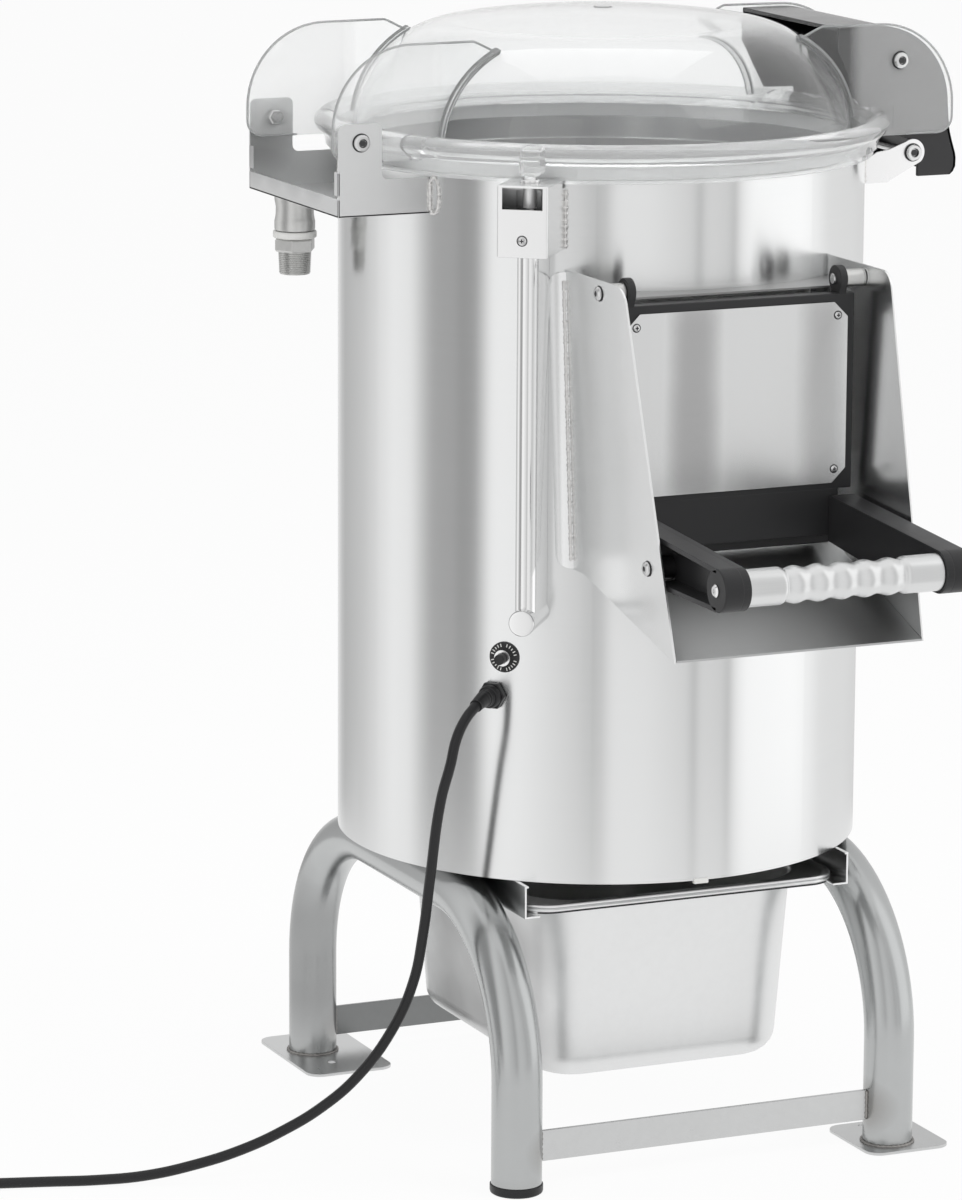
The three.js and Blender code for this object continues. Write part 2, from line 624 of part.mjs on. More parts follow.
const RAIL_BOTTOM = DRUM_BOTTOM - GAP - RAIL_HEIGHT;
const PAN_RIM_BOTTOM = RAIL_BOTTOM + SHEET + GAP;
const PAN_RIM_TOP = PAN_RIM_BOTTOM + PAN_RIM_THICK;

function addRails() {
  const top = DRUM_BOTTOM - GAP;
  const inner = RAIL_X - RAIL_FLANGE;
  const web = RAIL_X - SHEET;
  const outline = [
    [inner, RAIL_BOTTOM], [RAIL_X, RAIL_BOTTOM], [RAIL_X, top], [inner, top],
    [inner, top - SHEET], [web, top - SHEET], [web, RAIL_BOTTOM + SHEET], [inner, RAIL_BOTTOM + SHEET],
  ];
  for (const [side, sign] of [["left", -1], ["right", 1]]) {
    const section = outline.map(([x, z]) => [sign * x, z]);
    add(`pan_rail_${side}`, STEEL, slab("y", section, RAIL_FRONT_Y, RAIL_REAR_Y));
  }
}

// One level loop of the pan: how far inside its rim it lies, its corner radius and its height.
function panLoop(inset, corner, z) {
  const halfWidth = PAN_WIDTH / 2 - inset;
  const outline = roundedBox(
    [-halfWidth, halfWidth], [PAN_FRONT_Y + inset, PAN_REAR_Y - inset], corner, 5);
  return outline.map(([x, y]) => [x, y, z]);
}

function addPan() {
  const foot = PAN_LIP + PAN_TAPER;
  const round = PAN_BOTTOM_ROUND;
  const footCorner = PAN_CORNER - PAN_TAPER;
  const rimCorner = PAN_CORNER / 2;
  const middle = PAN_BOTTOM_ROUND * ROUND_MIDDLE_SHARE;
  const wall = PAN_WALL;
  const loops = [
    panLoop(foot + round, footCorner - round, PAN_BOTTOM_Z),
    panLoop(foot + middle, footCorner - middle, PAN_BOTTOM_Z + middle),
    panLoop(foot, footCorner, PAN_BOTTOM_Z + round),
    panLoop(PAN_LIP, PAN_CORNER, PAN_RIM_BOTTOM),
    panLoop(0, rimCorner, PAN_RIM_BOTTOM),
    panLoop(0, rimCorner, PAN_RIM_TOP),
    panLoop(PAN_LIP + wall, PAN_CORNER - wall, PAN_RIM_TOP),
    panLoop(foot + wall, footCorner - wall, PAN_BOTTOM_Z + round),
    panLoop(foot + middle + wall, footCorner - middle, PAN_BOTTOM_Z + middle + wall),
    panLoop(foot + round, footCorner - round, PAN_BOTTOM_Z + wall),
  ];
  add("catch_pan", STEEL, skin(loops));
}

// Drum

function addDrum() {
  const shell = ring(DRUM_RADIUS, DRUM_RADIUS - DRUM_WALL, DRUM_BOTTOM, DRUM_TOP);
  const inward = DRUM_RADIUS - DRUM_WALL - OVERCUT;
  const mouth = block(
    [-MOUTH_HALF_WIDTH, MOUTH_HALF_WIDTH], [-DRUM_RADIUS - OVERCUT, 0], [MOUTH_BOTTOM, MOUTH_TOP]);
  const [slotWidth, slotHeight] = WATER_SLOT;
  const slotBottom = LINER_TOP + SHEET;
  const slot = block(
    [-DRUM_RADIUS - OVERCUT, 0], [-slotWidth / 2, slotWidth / 2], [slotBottom, slotBottom + slotHeight]);
  const spokeHole = (radius, z, angle) =>
    turned("y", [[radius, -DRUM_RADIUS - OVERCUT, -inward]], [0, 0, z])
      .rotateZ(THREE.MathUtils.degToRad(angle) + quarter);
  const breakerHole = spokeHole(BREAKER_COLLAR_RADIUS + GAP, BREAKER_Z, BREAKER_ANGLE);
  const glandHole = spokeHole(GLAND_STEM_RADIUS + GAP, GLAND_Z, GLAND_ANGLE);
  add("drum_shell", STEEL, cut(shell, mouth, slot, breakerHole, glandHole));

  const spoutHole = disc(SPOUT_RADIUS + GAP, 0, DRUM_TOP, ROUND).translate(SPOUT_X, SPOUT_Y, 0);
  const base = disc(DRUM_INSIDE, DRUM_BOTTOM, DRUM_BOTTOM + BASE_THICK);
  add("base_plate", STEEL, cut(base, spoutHole));

  const floor = ring(DRUM_INSIDE, SHAFT_RADIUS + RUN, CHAMBER_FLOOR_Z, CHAMBER_TOP);
  const drain = disc(SPOUT_RADIUS - SPOUT_WALL, 0, DRUM_TOP, ROUND).translate(SPOUT_X, SPOUT_Y, 0);
  add("chamber_floor", DARK_STEEL, cut(floor, drain));

  const liner = ring(DRUM_INSIDE, DRUM_INSIDE - LINER_THICK, CHAMBER_TOP + GAP, LINER_TOP);
  add("abrasive_liner", GRIT, cut(liner, mouth));

  const spout = ring(
    SPOUT_RADIUS, SPOUT_RADIUS - SPOUT_WALL, DRUM_BOTTOM - SPOUT_DROP, CHAMBER_FLOOR_Z - GAP, ROUND);
  add("drain_spout", STEEL, spout.translate(SPOUT_X, SPOUT_Y, 0));
}

// Drive

function addDrive() {
  const discBottom = CHAMBER_TOP + DISC_LIFT;
  const discTop = discBottom + DISC_THICK;
  const hump = () => slab("x", [
    [-HUMP_WIDTH / 2, discTop - SEAT], [HUMP_WIDTH / 2, discTop - SEAT], [0, discTop + HUMP_HEIGHT],
  ], 2 * SHAFT_RADIUS, DISC_RADIUS - HUMP_HEIGHT);
  const humps = Array.from({ length: HUMP_COUNT }, (_, i) =>
    hump().rotateZ((2 * Math.PI * i) / HUMP_COUNT));
  add("abrasive_disc", GRIT, join(disc(DISC_RADIUS, discBottom, discTop, 48), ...humps));

  const beltTop = BELT_Z + BELT_HEIGHT;
  add("drive_shaft", DARK_STEEL, disc(SHAFT_RADIUS, BELT_Z - OVERCUT, discBottom - GAP, ROUND));
  const housingTop = CHAMBER_FLOOR_Z - GAP;
  add("bearing_housing", DARK_STEEL,
    ring(BEARING_RADIUS, SHAFT_RADIUS + GAP, housingTop - BEARING_LENGTH, housingTop, SMOOTH));
  add("driven_pulley", DARK_STEEL, ring(DRIVEN_RADIUS, SHAFT_RADIUS + GAP, BELT_Z, beltTop, 32));

  const motorX = MOTOR_DISTANCE * Math.cos(THREE.MathUtils.degToRad(MOTOR_ANGLE));
  const motorY = MOTOR_DISTANCE * Math.sin(THREE.MathUtils.degToRad(MOTOR_ANGLE));
  const motorBottom = housingTop - MOTOR_LENGTH;
  const shaftReach = MOTOR_LENGTH / 4;
  const bore = MOTOR_SHAFT_RADIUS + GAP;
  const motor = spin([
    [bore, motorBottom], [MOTOR_RADIUS, motorBottom], [MOTOR_RADIUS, housingTop], [0, housingTop],
    [0, motorBottom + shaftReach + RUN], [bore, motorBottom + shaftReach + RUN],
  ], 28);
  add("motor", DARK_STEEL, motor.translate(motorX, motorY, 0));
  const pulley = spin([
    [0, BELT_Z], [DRIVER_RADIUS, BELT_Z], [DRIVER_RADIUS, beltTop], [MOTOR_SHAFT_RADIUS, beltTop],
    [MOTOR_SHAFT_RADIUS, motorBottom + shaftReach], [0, motorBottom + shaftReach],
  ], SMOOTH);
  add("motor_pulley", DARK_STEEL, pulley.translate(motorX, motorY, 0));

  const lean = THREE.MathUtils.radToDeg(Math.acos((DRIVEN_RADIUS - DRIVER_RADIUS) / MOTOR_DISTANCE));
  const loop = (extra) => [
    ...arc([0, 0], DRIVEN_RADIUS + extra, MOTOR_ANGLE + lean, MOTOR_ANGLE + 360 - lean, 22),
    ...arc([motorX, motorY], DRIVER_RADIUS + extra, MOTOR_ANGLE - lean, MOTOR_ANGLE + lean, 10),
  ];
  const beltZ = [BELT_Z + GAP, beltTop - GAP];
  add("drive_belt", BLACK, slab("z", loop(RUN + BELT_THICK), ...beltZ, [loop(RUN)]));
}

// Lid

const KNUCKLE_R = LID_DOME_RADIUS - LID_KNUCKLE_RADIUS;
const CROWN_Z = LID_APEX_Z - LID_CROWN_RADIUS;
const CENTRES_APART = LID_CROWN_RADIUS - LID_KNUCKLE_RADIUS;
const KNUCKLE_Z = CROWN_Z + Math.sqrt(CENTRES_APART ** 2 - KNUCKLE_R ** 2);
const KNUCKLE_START = THREE.MathUtils.radToDeg(Math.asin(KNUCKLE_R / CENTRES_APART));

// Half section of the dome from its middle to its foot, a distance inside its outer surface.
function domeProfile(inside) {
  return [
    ...arc([0, CROWN_Z], LID_CROWN_RADIUS - inside, 90, 90 - KNUCKLE_START, 2).slice(0, 2),
    ...arc([KNUCKLE_R, KNUCKLE_Z], LID_KNUCKLE_RADIUS - inside, 90 - KNUCKLE_START, 0, 5),
  ];
}

function lidShell() {
  const inner = SEAL_RADIUS - SEAL_WIDTH - SEAT;
  const skirt = RIM_LIP_RADIUS - LID_WALL;
  const skirtTop = RIM_TOP_Z - 3 * LID_WALL;
  const profile = [
    ...domeProfile(0),
    [LID_DOME_RADIUS + 2 * LID_WALL, KNUCKLE_Z + LID_WALL / 2],
    [RIM_RADIUS - 5 * LID_WALL, RIM_TOP_Z - LID_WALL],
    [RIM_RADIUS - 2 * LID_WALL, RIM_TOP_Z],
    [RIM_RADIUS - LID_WALL / 2, RIM_TOP_Z - LID_WALL / 2],
    [RIM_RADIUS, RIM_TOP_Z - 2 * LID_WALL],
    [RIM_LIP_RADIUS + LID_WALL, RIM_SKIRT_Z],
    [RIM_LIP_RADIUS, RIM_SKIRT_Z],
    [RIM_LIP_RADIUS, RIM_LIP_Z],
    [skirt, RIM_LIP_Z],
    [skirt, RIM_SKIRT_Z],
    [RIM_RADIUS - 2 * LID_WALL, skirtTop],
    [SEAL_RADIUS + LID_WALL, skirtTop],
    [SEAL_RADIUS + SEAT, LID_SEAT_Z],
    [inner, LID_SEAT_Z],
    ...domeProfile(LID_WALL).reverse(),
  ];
  return spin(profile, LID_SIDES);
}

const FIN_ARC = [FIN_REACH - FIN_CURVE, FIN_TOP_Z - FIN_CURVE];
const FIN_TOP_X = FIN_REACH - FIN_TOP_LENGTH;
const FIN_ROOT_X = FIN_TOP_X - FIN_ROOT_LENGTH;

function finOutline() {
  return [
    [FIN_ROOT_X, FIN_BOTTOM_Z],
    ...arc([FIN_REACH - FIN_CORNER, FIN_BOTTOM_Z + FIN_CORNER], FIN_CORNER, -90, 0, 4),
    ...arc(FIN_ARC, FIN_CURVE, 0, 90, 8),
    [FIN_TOP_X, FIN_TOP_Z],
    [FIN_ROOT_X, FIN_TOP_Z - FIN_ROOT_DROP],
  ];
}

// The space inside the dome and under its foot, which the fins stay out of.
function domeInside() {
  const [[footR], ...rest] = domeProfile(LID_WALL / 2).reverse();
  return spin([[0, 0], [footR, 0], [footR, KNUCKLE_Z], ...rest], LID_SIDES);
}

function addLid() {
  const fins = [];
  for (const xSign of [-1, 1]) {
    for (const ySign of [-1, 1]) {
      const centre = ySign * FIN_Y;
      const outline = finOutline().map(([x, z]) => [xSign * x, z]);
      fins.push(slab("y", outline, centre - FIN_THICK / 2, centre + FIN_THICK / 2));
    }
  }
  const underRim = disc(RIM_LIP_RADIUS - LID_WALL, 0, LID_SEAT_Z, LID_SIDES);
  const hole = (x, z) => turned("y", [[BOLT_RADIUS + 2 * GAP, -EAR_OUTSIDE, EAR_OUTSIDE]], [x, 0, z]);
  const lug = block([-LUG_WIDTH / 2, LUG_WIDTH / 2],
    [-PLUNGER_R - PLUNGER_RADIUS, 2 * LID_WALL - RIM_RADIUS], [PLUNGER_TOP + LUG_CLEAR, RIM_TOP_Z - SHEET]);
  lug.rotateZ(THREE.MathUtils.degToRad(INTERLOCK_ANGLE) + quarter);
  const finned = cut(join(...fins), domeInside(), underRim, hole(HINGE_X, HINGE_Z), hole(LATCH_X, LATCH_Z));
  add("lid", CLEAR, join(lidShell(), finned, lug));
  add("lid_seal", BLACK,
    ring(SEAL_RADIUS, SEAL_RADIUS - SEAL_WIDTH, SEAL_BOTTOM, LID_SEAT_Z - GAP, LID_SIDES));
}

// A bolt through a plate and a fin, with its nut, on the front (-1) or rear (1) side.
function boltThrough(x, z, side, headFace, nutFace) {
  const nutThick = BOLT_HEAD_THICK + SHEET;
  const steps = [
    [BOLT_RADIUS, nutFace - nutThick - SHEET, nutFace - nutThick],
    [BOLT_HEAD_RADIUS, nutFace - nutThick, nutFace],
    [BOLT_RADIUS, nutFace, headFace],
    [BOLT_HEAD_RADIUS, headFace, headFace + BOLT_HEAD_THICK],
  ];
  const ordered = side < 0 ? steps.map(([r, a, b]) => [r, -b, -a]).reverse() : steps;
  return turned("y", ordered, [x, 0, z], FEW);
}

function addHinge() {
  const left = [EAR_LEFT - SHEET, EAR_LEFT];
  const lip = block(left, [-EAR_OUTSIDE, EAR_OUTSIDE], [TROUGH_BOTTOM, TROUGH_BOTTOM + TROUGH_LIP]);
  const floor = block([left[0], 0], [-EAR_OUTSIDE, EAR_OUTSIDE], [TROUGH_BOTTOM, TROUGH_BOTTOM + SHEET]);
  const parts = [lip, floor];
  const outline = [
    [left[0], TROUGH_BOTTOM], [0, TROUGH_BOTTOM], [0, TROUGH_STEP_Z], [EAR_RIGHT, TROUGH_STEP_Z],
    ...arc([EAR_RIGHT - EAR_CORNER, EAR_TOP - EAR_CORNER], EAR_CORNER, 0, 90, 3),
    ...arc([left[0] + EAR_CORNER, EAR_TOP - EAR_CORNER], EAR_CORNER, 90, 180, 3),
  ];
  for (const side of [-1, 1]) {
    const faces = [side * EAR_INSIDE, side * EAR_OUTSIDE].sort((a, b) => a - b);
    parts.push(slab("y", outline, ...faces));
    const tab = [side * EAR_OUTSIDE, side * (EAR_OUTSIDE - TAB_WIDTH)].sort((a, b) => a - b);
    parts.push(block(left, tab, [TAB_BOTTOM, TAB_TOP]));
  }
  const water = disc(INLET_BORE, 0, DRUM_TOP, ROUND).translate(INLET_X, INLET_Y, 0);
  const boltHole = turned("y",
    [[BOLT_RADIUS + GAP, -EAR_OUTSIDE - OVERCUT, EAR_OUTSIDE + OVERCUT]], [HINGE_X, 0, HINGE_Z]);
  add("hinge_bracket", STEEL, cut(join(...parts), drumCutter(), water, boltHole));
  for (const [end, side] of [["front", -1], ["rear", 1]]) {
    const bolt = boltThrough(HINGE_X, HINGE_Z, side, EAR_OUTSIDE + GAP, FIN_INSIDE - GAP);
    add(`hinge_bolt_${end}`, DARK_STEEL, bolt);
  }
}

function addInlet() {
  const at = (geometry) => geometry.translate(INLET_X, INLET_Y, 0);
  const socketTop = TROUGH_BOTTOM - GAP;
  const socketBottom = socketTop - SOCKET_HEIGHT;
  const washerTop = socketBottom - GAP;
  const washerBottom = washerTop - WASHER_THICK;
  const nutTop = washerBottom - GAP;
  const nutBottom = nutTop - NUT_HEIGHT;
  add("inlet_socket", STEEL, at(ring(SOCKET_RADIUS, INLET_BORE, socketBottom, socketTop, SMOOTH)));
  add("inlet_washer", WHITE, at(ring(WASHER_RADIUS, INLET_BORE, washerBottom, washerTop, SMOOTH)));
  const nut = ring(NUT_RADIUS, INLET_BORE, nutBottom, nutTop, 6);
  const thread = spin([
    [INLET_BORE, nutBottom - THREAD_LENGTH], [THREAD_RADIUS - SEAT, nutBottom - THREAD_LENGTH],
    [THREAD_RADIUS, nutBottom + SEAT], [INLET_BORE, nutBottom + SEAT],
  ], SMOOTH);
  add("inlet_nipple", STEEL, at(join(nut, thread)));
}

// Latch

const HANDLE_LEFT = RIM_RADIUS + HANDLE_INNER_EDGE[HANDLE_INNER_EDGE.length - 1][0];

// The handle's outer edge as seen from the front, a distance inside its outer face.
function handleEdge(inside) {
  const radius = FIN_CURVE - HANDLE_TOP_INSET - inside;
  return [
    [HANDLE_LEFT, FIN_ARC[1] + radius],
    ...arc(FIN_ARC, radius, 90, 0, 8),
    ...HANDLE_FOOT.map(([x, z]) => [FIN_REACH + x - inside, DRUM_TOP + z]),
  ];
}

function addLatch() {
  const outerFace = FIN_INSIDE - HANDLE_SIDE_CLEAR;
  const innerFace = outerFace - HANDLE_WALL;
  const web = [...handleEdge(0), ...handleEdge(HANDLE_WALL).reverse()];
  const parts = [slab("y", web, -outerFace, outerFace)];
  const side = [...handleEdge(0), ...HANDLE_INNER_EDGE.map(([x, z]) => [RIM_RADIUS + x, DRUM_TOP + z])];
  for (const sign of [-1, 1]) {
    const faces = [sign * innerFace, sign * outerFace].sort((a, b) => a - b);
    parts.push(slab("y", side, ...faces));
  }
  const hole = turned("y", [[BOLT_RADIUS + GAP, -FIN_Y, FIN_Y]], [LATCH_X, 0, LATCH_Z]);
  add("latch_handle", BLACK, cut(join(...parts), hole));
  for (const [end, sign] of [["front", -1], ["rear", 1]]) {
    const screw = boltThrough(LATCH_X, LATCH_Z, sign, FIN_OUTSIDE + GAP, innerFace - GAP);
    add(`latch_screw_${end}`, DARK_STEEL, screw);
  }

  const earInside = outerFace + EAR_GAP;
  const earOutside = earInside + SHEET;
  const ear = [
    [0, LATCH_BRACKET_BOTTOM], [ON_DRUM + SHEET, LATCH_BRACKET_BOTTOM],
    ...arc([PIN_X, PIN_Z], LATCH_EAR_REACH, -45, 125, 7),
    [PIN_X - 2 * LATCH_EAR_REACH, LATCH_BRACKET_TOP + SHEET],
    [PIN_X - 3 * LATCH_EAR_REACH, LATCH_BRACKET_TOP], [0, LATCH_BRACKET_TOP - 2 * LATCH_EAR_REACH],
  ];
  const bracket = [block([ON_DRUM, ON_DRUM + SHEET], [-earOutside, earOutside],
    [LATCH_BRACKET_BOTTOM, LATCH_BRACKET_TOP - 4 * SHEET])];
  for (const sign of [-1, 1]) {
    const faces = [sign * earInside, sign * earOutside].sort((a, b) => a - b);
    bracket.push(slab("y", ear, ...faces));
  }
  const pinHole = turned("y",
    [[PIN_RADIUS + GAP, -earOutside - OVERCUT, earOutside + OVERCUT]], [PIN_X, 0, PIN_Z]);
  add("latch_bracket", STEEL, cut(join(...bracket), drumCutter(), pinHole));
  const headFace = earOutside + GAP;
  const headEnd = headFace + BOLT_HEAD_THICK;
  const pin = turned("y", [
    [BOLT_HEAD_RADIUS, -headEnd, -headFace], [PIN_RADIUS, -headFace, headFace],
    [BOLT_HEAD_RADIUS, headFace, headEnd],
  ], [PIN_X, 0, PIN_Z], FEW);
  add("latch_pin", DARK_STEEL, pin);
}

// Lid interlock. Its pieces are drawn facing -Y on the front of the drum, then turned onto their spoke.

const BOX_SHELF_R = RIM_LIP_RADIUS + SHEET; // the box is lower inside this radius, under the lid's rim
const COLLAR_TOP = BOX_TOP - SHEET - GAP;
const COLLAR_BOTTOM = COLLAR_TOP - PLUNGER_COLLAR_THICK;
const SWITCH_TOP = COLLAR_BOTTOM - SPRING_HEIGHT;

function interlockBox() {
  const half = BOX_WIDTH / 2;
  const shelfTop = RIM_LIP_Z - 2 * SHEET;
  const inner = half - SHEET;
  const outer = join(
    block([-half, half], [-BOX_FRONT_R, 0], [BOX_BOTTOM, shelfTop]),
    block([-half, half], [-BOX_FRONT_R, -BOX_SHELF_R], [BOX_BOTTOM, BOX_TOP]));
  const front = -BOX_FRONT_R + SHEET;
  const low = block([-inner, inner], [front, OVERCUT], [BOX_BOTTOM + SHEET, shelfTop - SHEET]);
  const high = block([-inner, inner], [front, -BOX_SHELF_R - SHEET], [BOX_BOTTOM + SHEET, BOX_TOP - SHEET]);
  const [windowWidth, windowHeight] = WINDOW;
  const windowTop = BOX_TOP - SHEET;
  const window = block([-windowWidth / 2, windowWidth / 2], [-BOX_FRONT_R - OVERCUT, front + SEAT],
    [windowTop - windowHeight, windowTop]);
  const hole = disc(PLUNGER_RADIUS + RUN, COLLAR_TOP, BOX_TOP + OVERCUT, ROUND).translate(0, -PLUNGER_R, 0);
  return cut(outer, low, high, window, hole);
}

function helix() {
  const bottom = SWITCH_TOP + GAP + SPRING_WIRE;
  const top = COLLAR_BOTTOM - GAP - SPRING_WIRE;
  const steps = SPRING_TURNS * CURL_STEPS;
  const points = Array.from({ length: steps + 1 }, (_, i) => {
    const angle = (2 * Math.PI * i) / CURL_STEPS;
    const x = SPRING_RADIUS * Math.cos(angle);
    const y = SPRING_RADIUS * Math.sin(angle) - PLUNGER_R;
    return new THREE.Vector3(x, y, bottom + ((top - bottom) * i) / steps);
  });
  return sweep(points, circle(SPRING_WIRE, 5));
}

function addInterlock() {
  addOnSpoke("interlock_box", STEEL, interlockBox(), INTERLOCK_ANGLE, true);
  const stem = SPRING_RADIUS - SPRING_WIRE - RUN / 2;
  const plunger = spin([
    [0, SWITCH_TOP + PLUNGER_STROKE + RUN], [stem, SWITCH_TOP + PLUNGER_STROKE + RUN],
    [stem, COLLAR_BOTTOM], [PLUNGER_RADIUS + PLUNGER_COLLAR, COLLAR_BOTTOM],
    [PLUNGER_RADIUS + PLUNGER_COLLAR, COLLAR_TOP], [PLUNGER_RADIUS, COLLAR_TOP],
    [PLUNGER_RADIUS, PLUNGER_TOP - SEAT], [PLUNGER_RADIUS - SEAT, PLUNGER_TOP], [0, PLUNGER_TOP],
  ], ROUND).translate(0, -PLUNGER_R, 0);
  addOnSpoke("interlock_plunger", DARK_STEEL, plunger, INTERLOCK_ANGLE);
  addOnSpoke("interlock_spring", STEEL, helix(), INTERLOCK_ANGLE);
  const switchBody = block([-SWITCH_HALF, SWITCH_HALF],
    [-PLUNGER_R - SWITCH_HALF, -PLUNGER_R + SWITCH_HALF], [BOX_BOTTOM + SHEET + GAP, SWITCH_TOP]);
  addOnSpoke("interlock_switch", BLACK, switchBody, INTERLOCK_ANGLE);

  const half = CONDUIT_WIDTH / 2;
  const front = CONDUIT_FRONT_R - half;
  const channel = (wall) => [
    ...arc([0, -front], half - wall, 180, 360, 8), [half - wall, 0], [wall - half, 0],
  ];
  const duct = cut(
    slab("z", channel(0), BOSS_Z, BOX_BOTTOM - GAP),
    slab("z", channel(CONDUIT_WALL), BOSS_Z - OVERCUT, BOX_BOTTOM + OVERCUT));
  const boss = turned("y", [[BOSS_RADIUS, -BOSS_R, 0]], [0, 0, BOSS_Z]);
  addOnSpoke("interlock_conduit", STEEL, join(duct, boss), INTERLOCK_ANGLE, true);
}

// Circuit breaker and cable gland

function addElectrics() {
  const collarFront = -ON_DRUM - BREAKER_COLLAR_LENGTH;
  const backOfBore = collarFront + BUTTON_LENGTH + BUTTON_STROKE + RUN;
  const body = turned("y", [
    [BREAKER_COLLAR_RADIUS, collarFront, -ON_DRUM - BREAKER_PLATE_THICK],
    [BREAKER_PLATE_RADIUS, -ON_DRUM - BREAKER_PLATE_THICK, -ON_DRUM],
    [BREAKER_COLLAR_RADIUS, -ON_DRUM, -ON_DRUM + BREAKER_DEPTH],
  ], [0, 0, BREAKER_Z]);
  const bore = turned("y", [[BUTTON_RADIUS + GAP, collarFront - OVERCUT, backOfBore]], [0, 0, BREAKER_Z]);
  addOnSpoke("breaker_body", BLACK, cut(body, bore), BREAKER_ANGLE);
  const tip = collarFront - BUTTON_PROUD;
  const button = turned("y",
    [[BUTTON_RADIUS - SEAT, tip, tip + SEAT], [BUTTON_RADIUS, tip + SEAT, collarFront + BUTTON_LENGTH]],
    [0, 0, BREAKER_Z]);
  addOnSpoke("breaker_button", WHITE, button, BREAKER_ANGLE);

  const hex = turned("y", [[GLAND_HEX_RADIUS, -ON_DRUM - GLAND_LENGTH, -ON_DRUM]], [0, 0, GLAND_Z], 6);
  const stem = turned("y",
    [[GLAND_STEM_RADIUS, -ON_DRUM - SEAT, -ON_DRUM + GLAND_STEM_LENGTH]], [0, 0, GLAND_Z]);
  addOnSpoke("cable_gland", BLACK, join(hex, stem), GLAND_ANGLE);
}

// Mains cord

const vector = ([x, y, z]) => new THREE.Vector3(x, y, z);

function cordPoints() {
  const route = CORD_ROUTE.map(vector);
  const curve = new THREE.CatmullRomCurve3(route.slice(1, -1), false, "centripetal");
  return [route[0], ...curve.getSpacedPoints(CORD_STEPS), route[route.length - 1]];
}

// The middle line of the coil: in along the floor, inwards, up a layer, outwards, then off to the plug.
function coilPoints() {
  const pitch = 2 * CORD_RADIUS + COIL_GAP;
  const middle = COIL_TURNS / 2;
  const startAngle = THREE.MathUtils.degToRad(COIL_START_ANGLE);
  const floorZ = CORD_ROUTE[CORD_ROUTE.length - 1][2];
  const heading = new THREE.Vector3(-Math.sin(startAngle), Math.cos(startAngle), 0);
  const wound = Array.from({ length: COIL_TURNS * LOOP_STEPS + 1 }, (_, i) => {
    const turn = i / LOOP_STEPS;
    const angle = startAngle + 2 * Math.PI * turn;
    const radius = COIL_OUTER - pitch * Math.min(turn, COIL_TURNS - turn);
    const climb = THREE.MathUtils.clamp(2 * (turn - middle) + 1 / 2, 0, 1);
    const x = COIL_CENTRE[0] + radius * Math.cos(angle);
    const y = COIL_CENTRE[1] + radius * Math.sin(angle);
    return new THREE.Vector3(x, y, floorZ + pitch * climb);
  });
  const entry = wound[0].clone().addScaledVector(heading, -2 * CORD_RADIUS);
  const bend = wound[wound.length - 1].clone().addScaledVector(heading, COIL_TAIL - 2 * CORD_RADIUS);
  bend.z = PLUG_RADIUS + GAP;
  const end = bend.clone().addScaledVector(heading, 2 * CORD_RADIUS);
  return { heading, points: [entry, ...wound, bend, end] };
}

// The least space between the turns, between points more than half a turn apart.
function leastGap(points) {
  let least = Infinity;
  const perStep = 8;
  const fine = new THREE.CatmullRomCurve3(points).getSpacedPoints(points.length * perStep);
  const apart = (LOOP_STEPS * perStep) / 2;
  for (let i = 0; i < fine.length; i++) {
    for (let j = i + apart; j < fine.length; j++) least = Math.min(least, fine[i].distanceTo(fine[j]));
  }
  return least - 2 * CORD_RADIUS;
}

function addCord() {
  add("power_cord", BLACK, sweep(cordPoints(), circle(CORD_RADIUS, CORD_SIDES)));
  const { heading, points } = coilPoints();
  add("cord_coil", BLACK, sweep(points, circle(CORD_RADIUS, COIL_SIDES)));
  console.log(`cord coil: least gap ${leastGap(points).toFixed(2)} mm`);

  const relief = PLUG_TAIL;
  const bodyEnd = relief + PLUG_LENGTH;
  const body = turned("x", [
    [CORD_RADIUS + SEAT, 0, relief / 2], [CORD_RADIUS + 2 * SEAT, relief / 2, relief],
    [PLUG_RADIUS - 2 * SEAT, relief, relief + SEAT], [PLUG_RADIUS, relief + 2 * SEAT, bodyEnd],
  ], [0, 0, 0]);
  const pinSteps = [[PLUG_PIN_RADIUS, bodyEnd - SEAT, bodyEnd + PLUG_PIN_LENGTH]];
  const pins = [-1, 1].map((side) =>
    turned("x", pinSteps, [0, (side * PLUG_PIN_SPACING) / 2, 0], FEW));
  const start = points[points.length - 1].clone().addScaledVector(heading, GAP);
  const plug = join(body, ...pins).rotateZ(Math.atan2(heading.y, heading.x));
  add("power_plug", BLACK, plug.translate(start.x, start.y, start.z));
}

// Chute

// Leans a geometry drawn against the plane x = 0 so that it follows a side of the chute.
function leanOut(geometry, side) {
  const lean = new THREE.Matrix4().set(
    side, 0, side * CHUTE_SLOPE, side * (CHUTE_FOOT_X - CHUTE_SLOPE * CHUTE_FOOT_Z),
    0, 1, 0, 0,
    0, 0, 1, 0,
    0, 0, 0, 1);
  return geometry.applyMatrix4(lean);
}

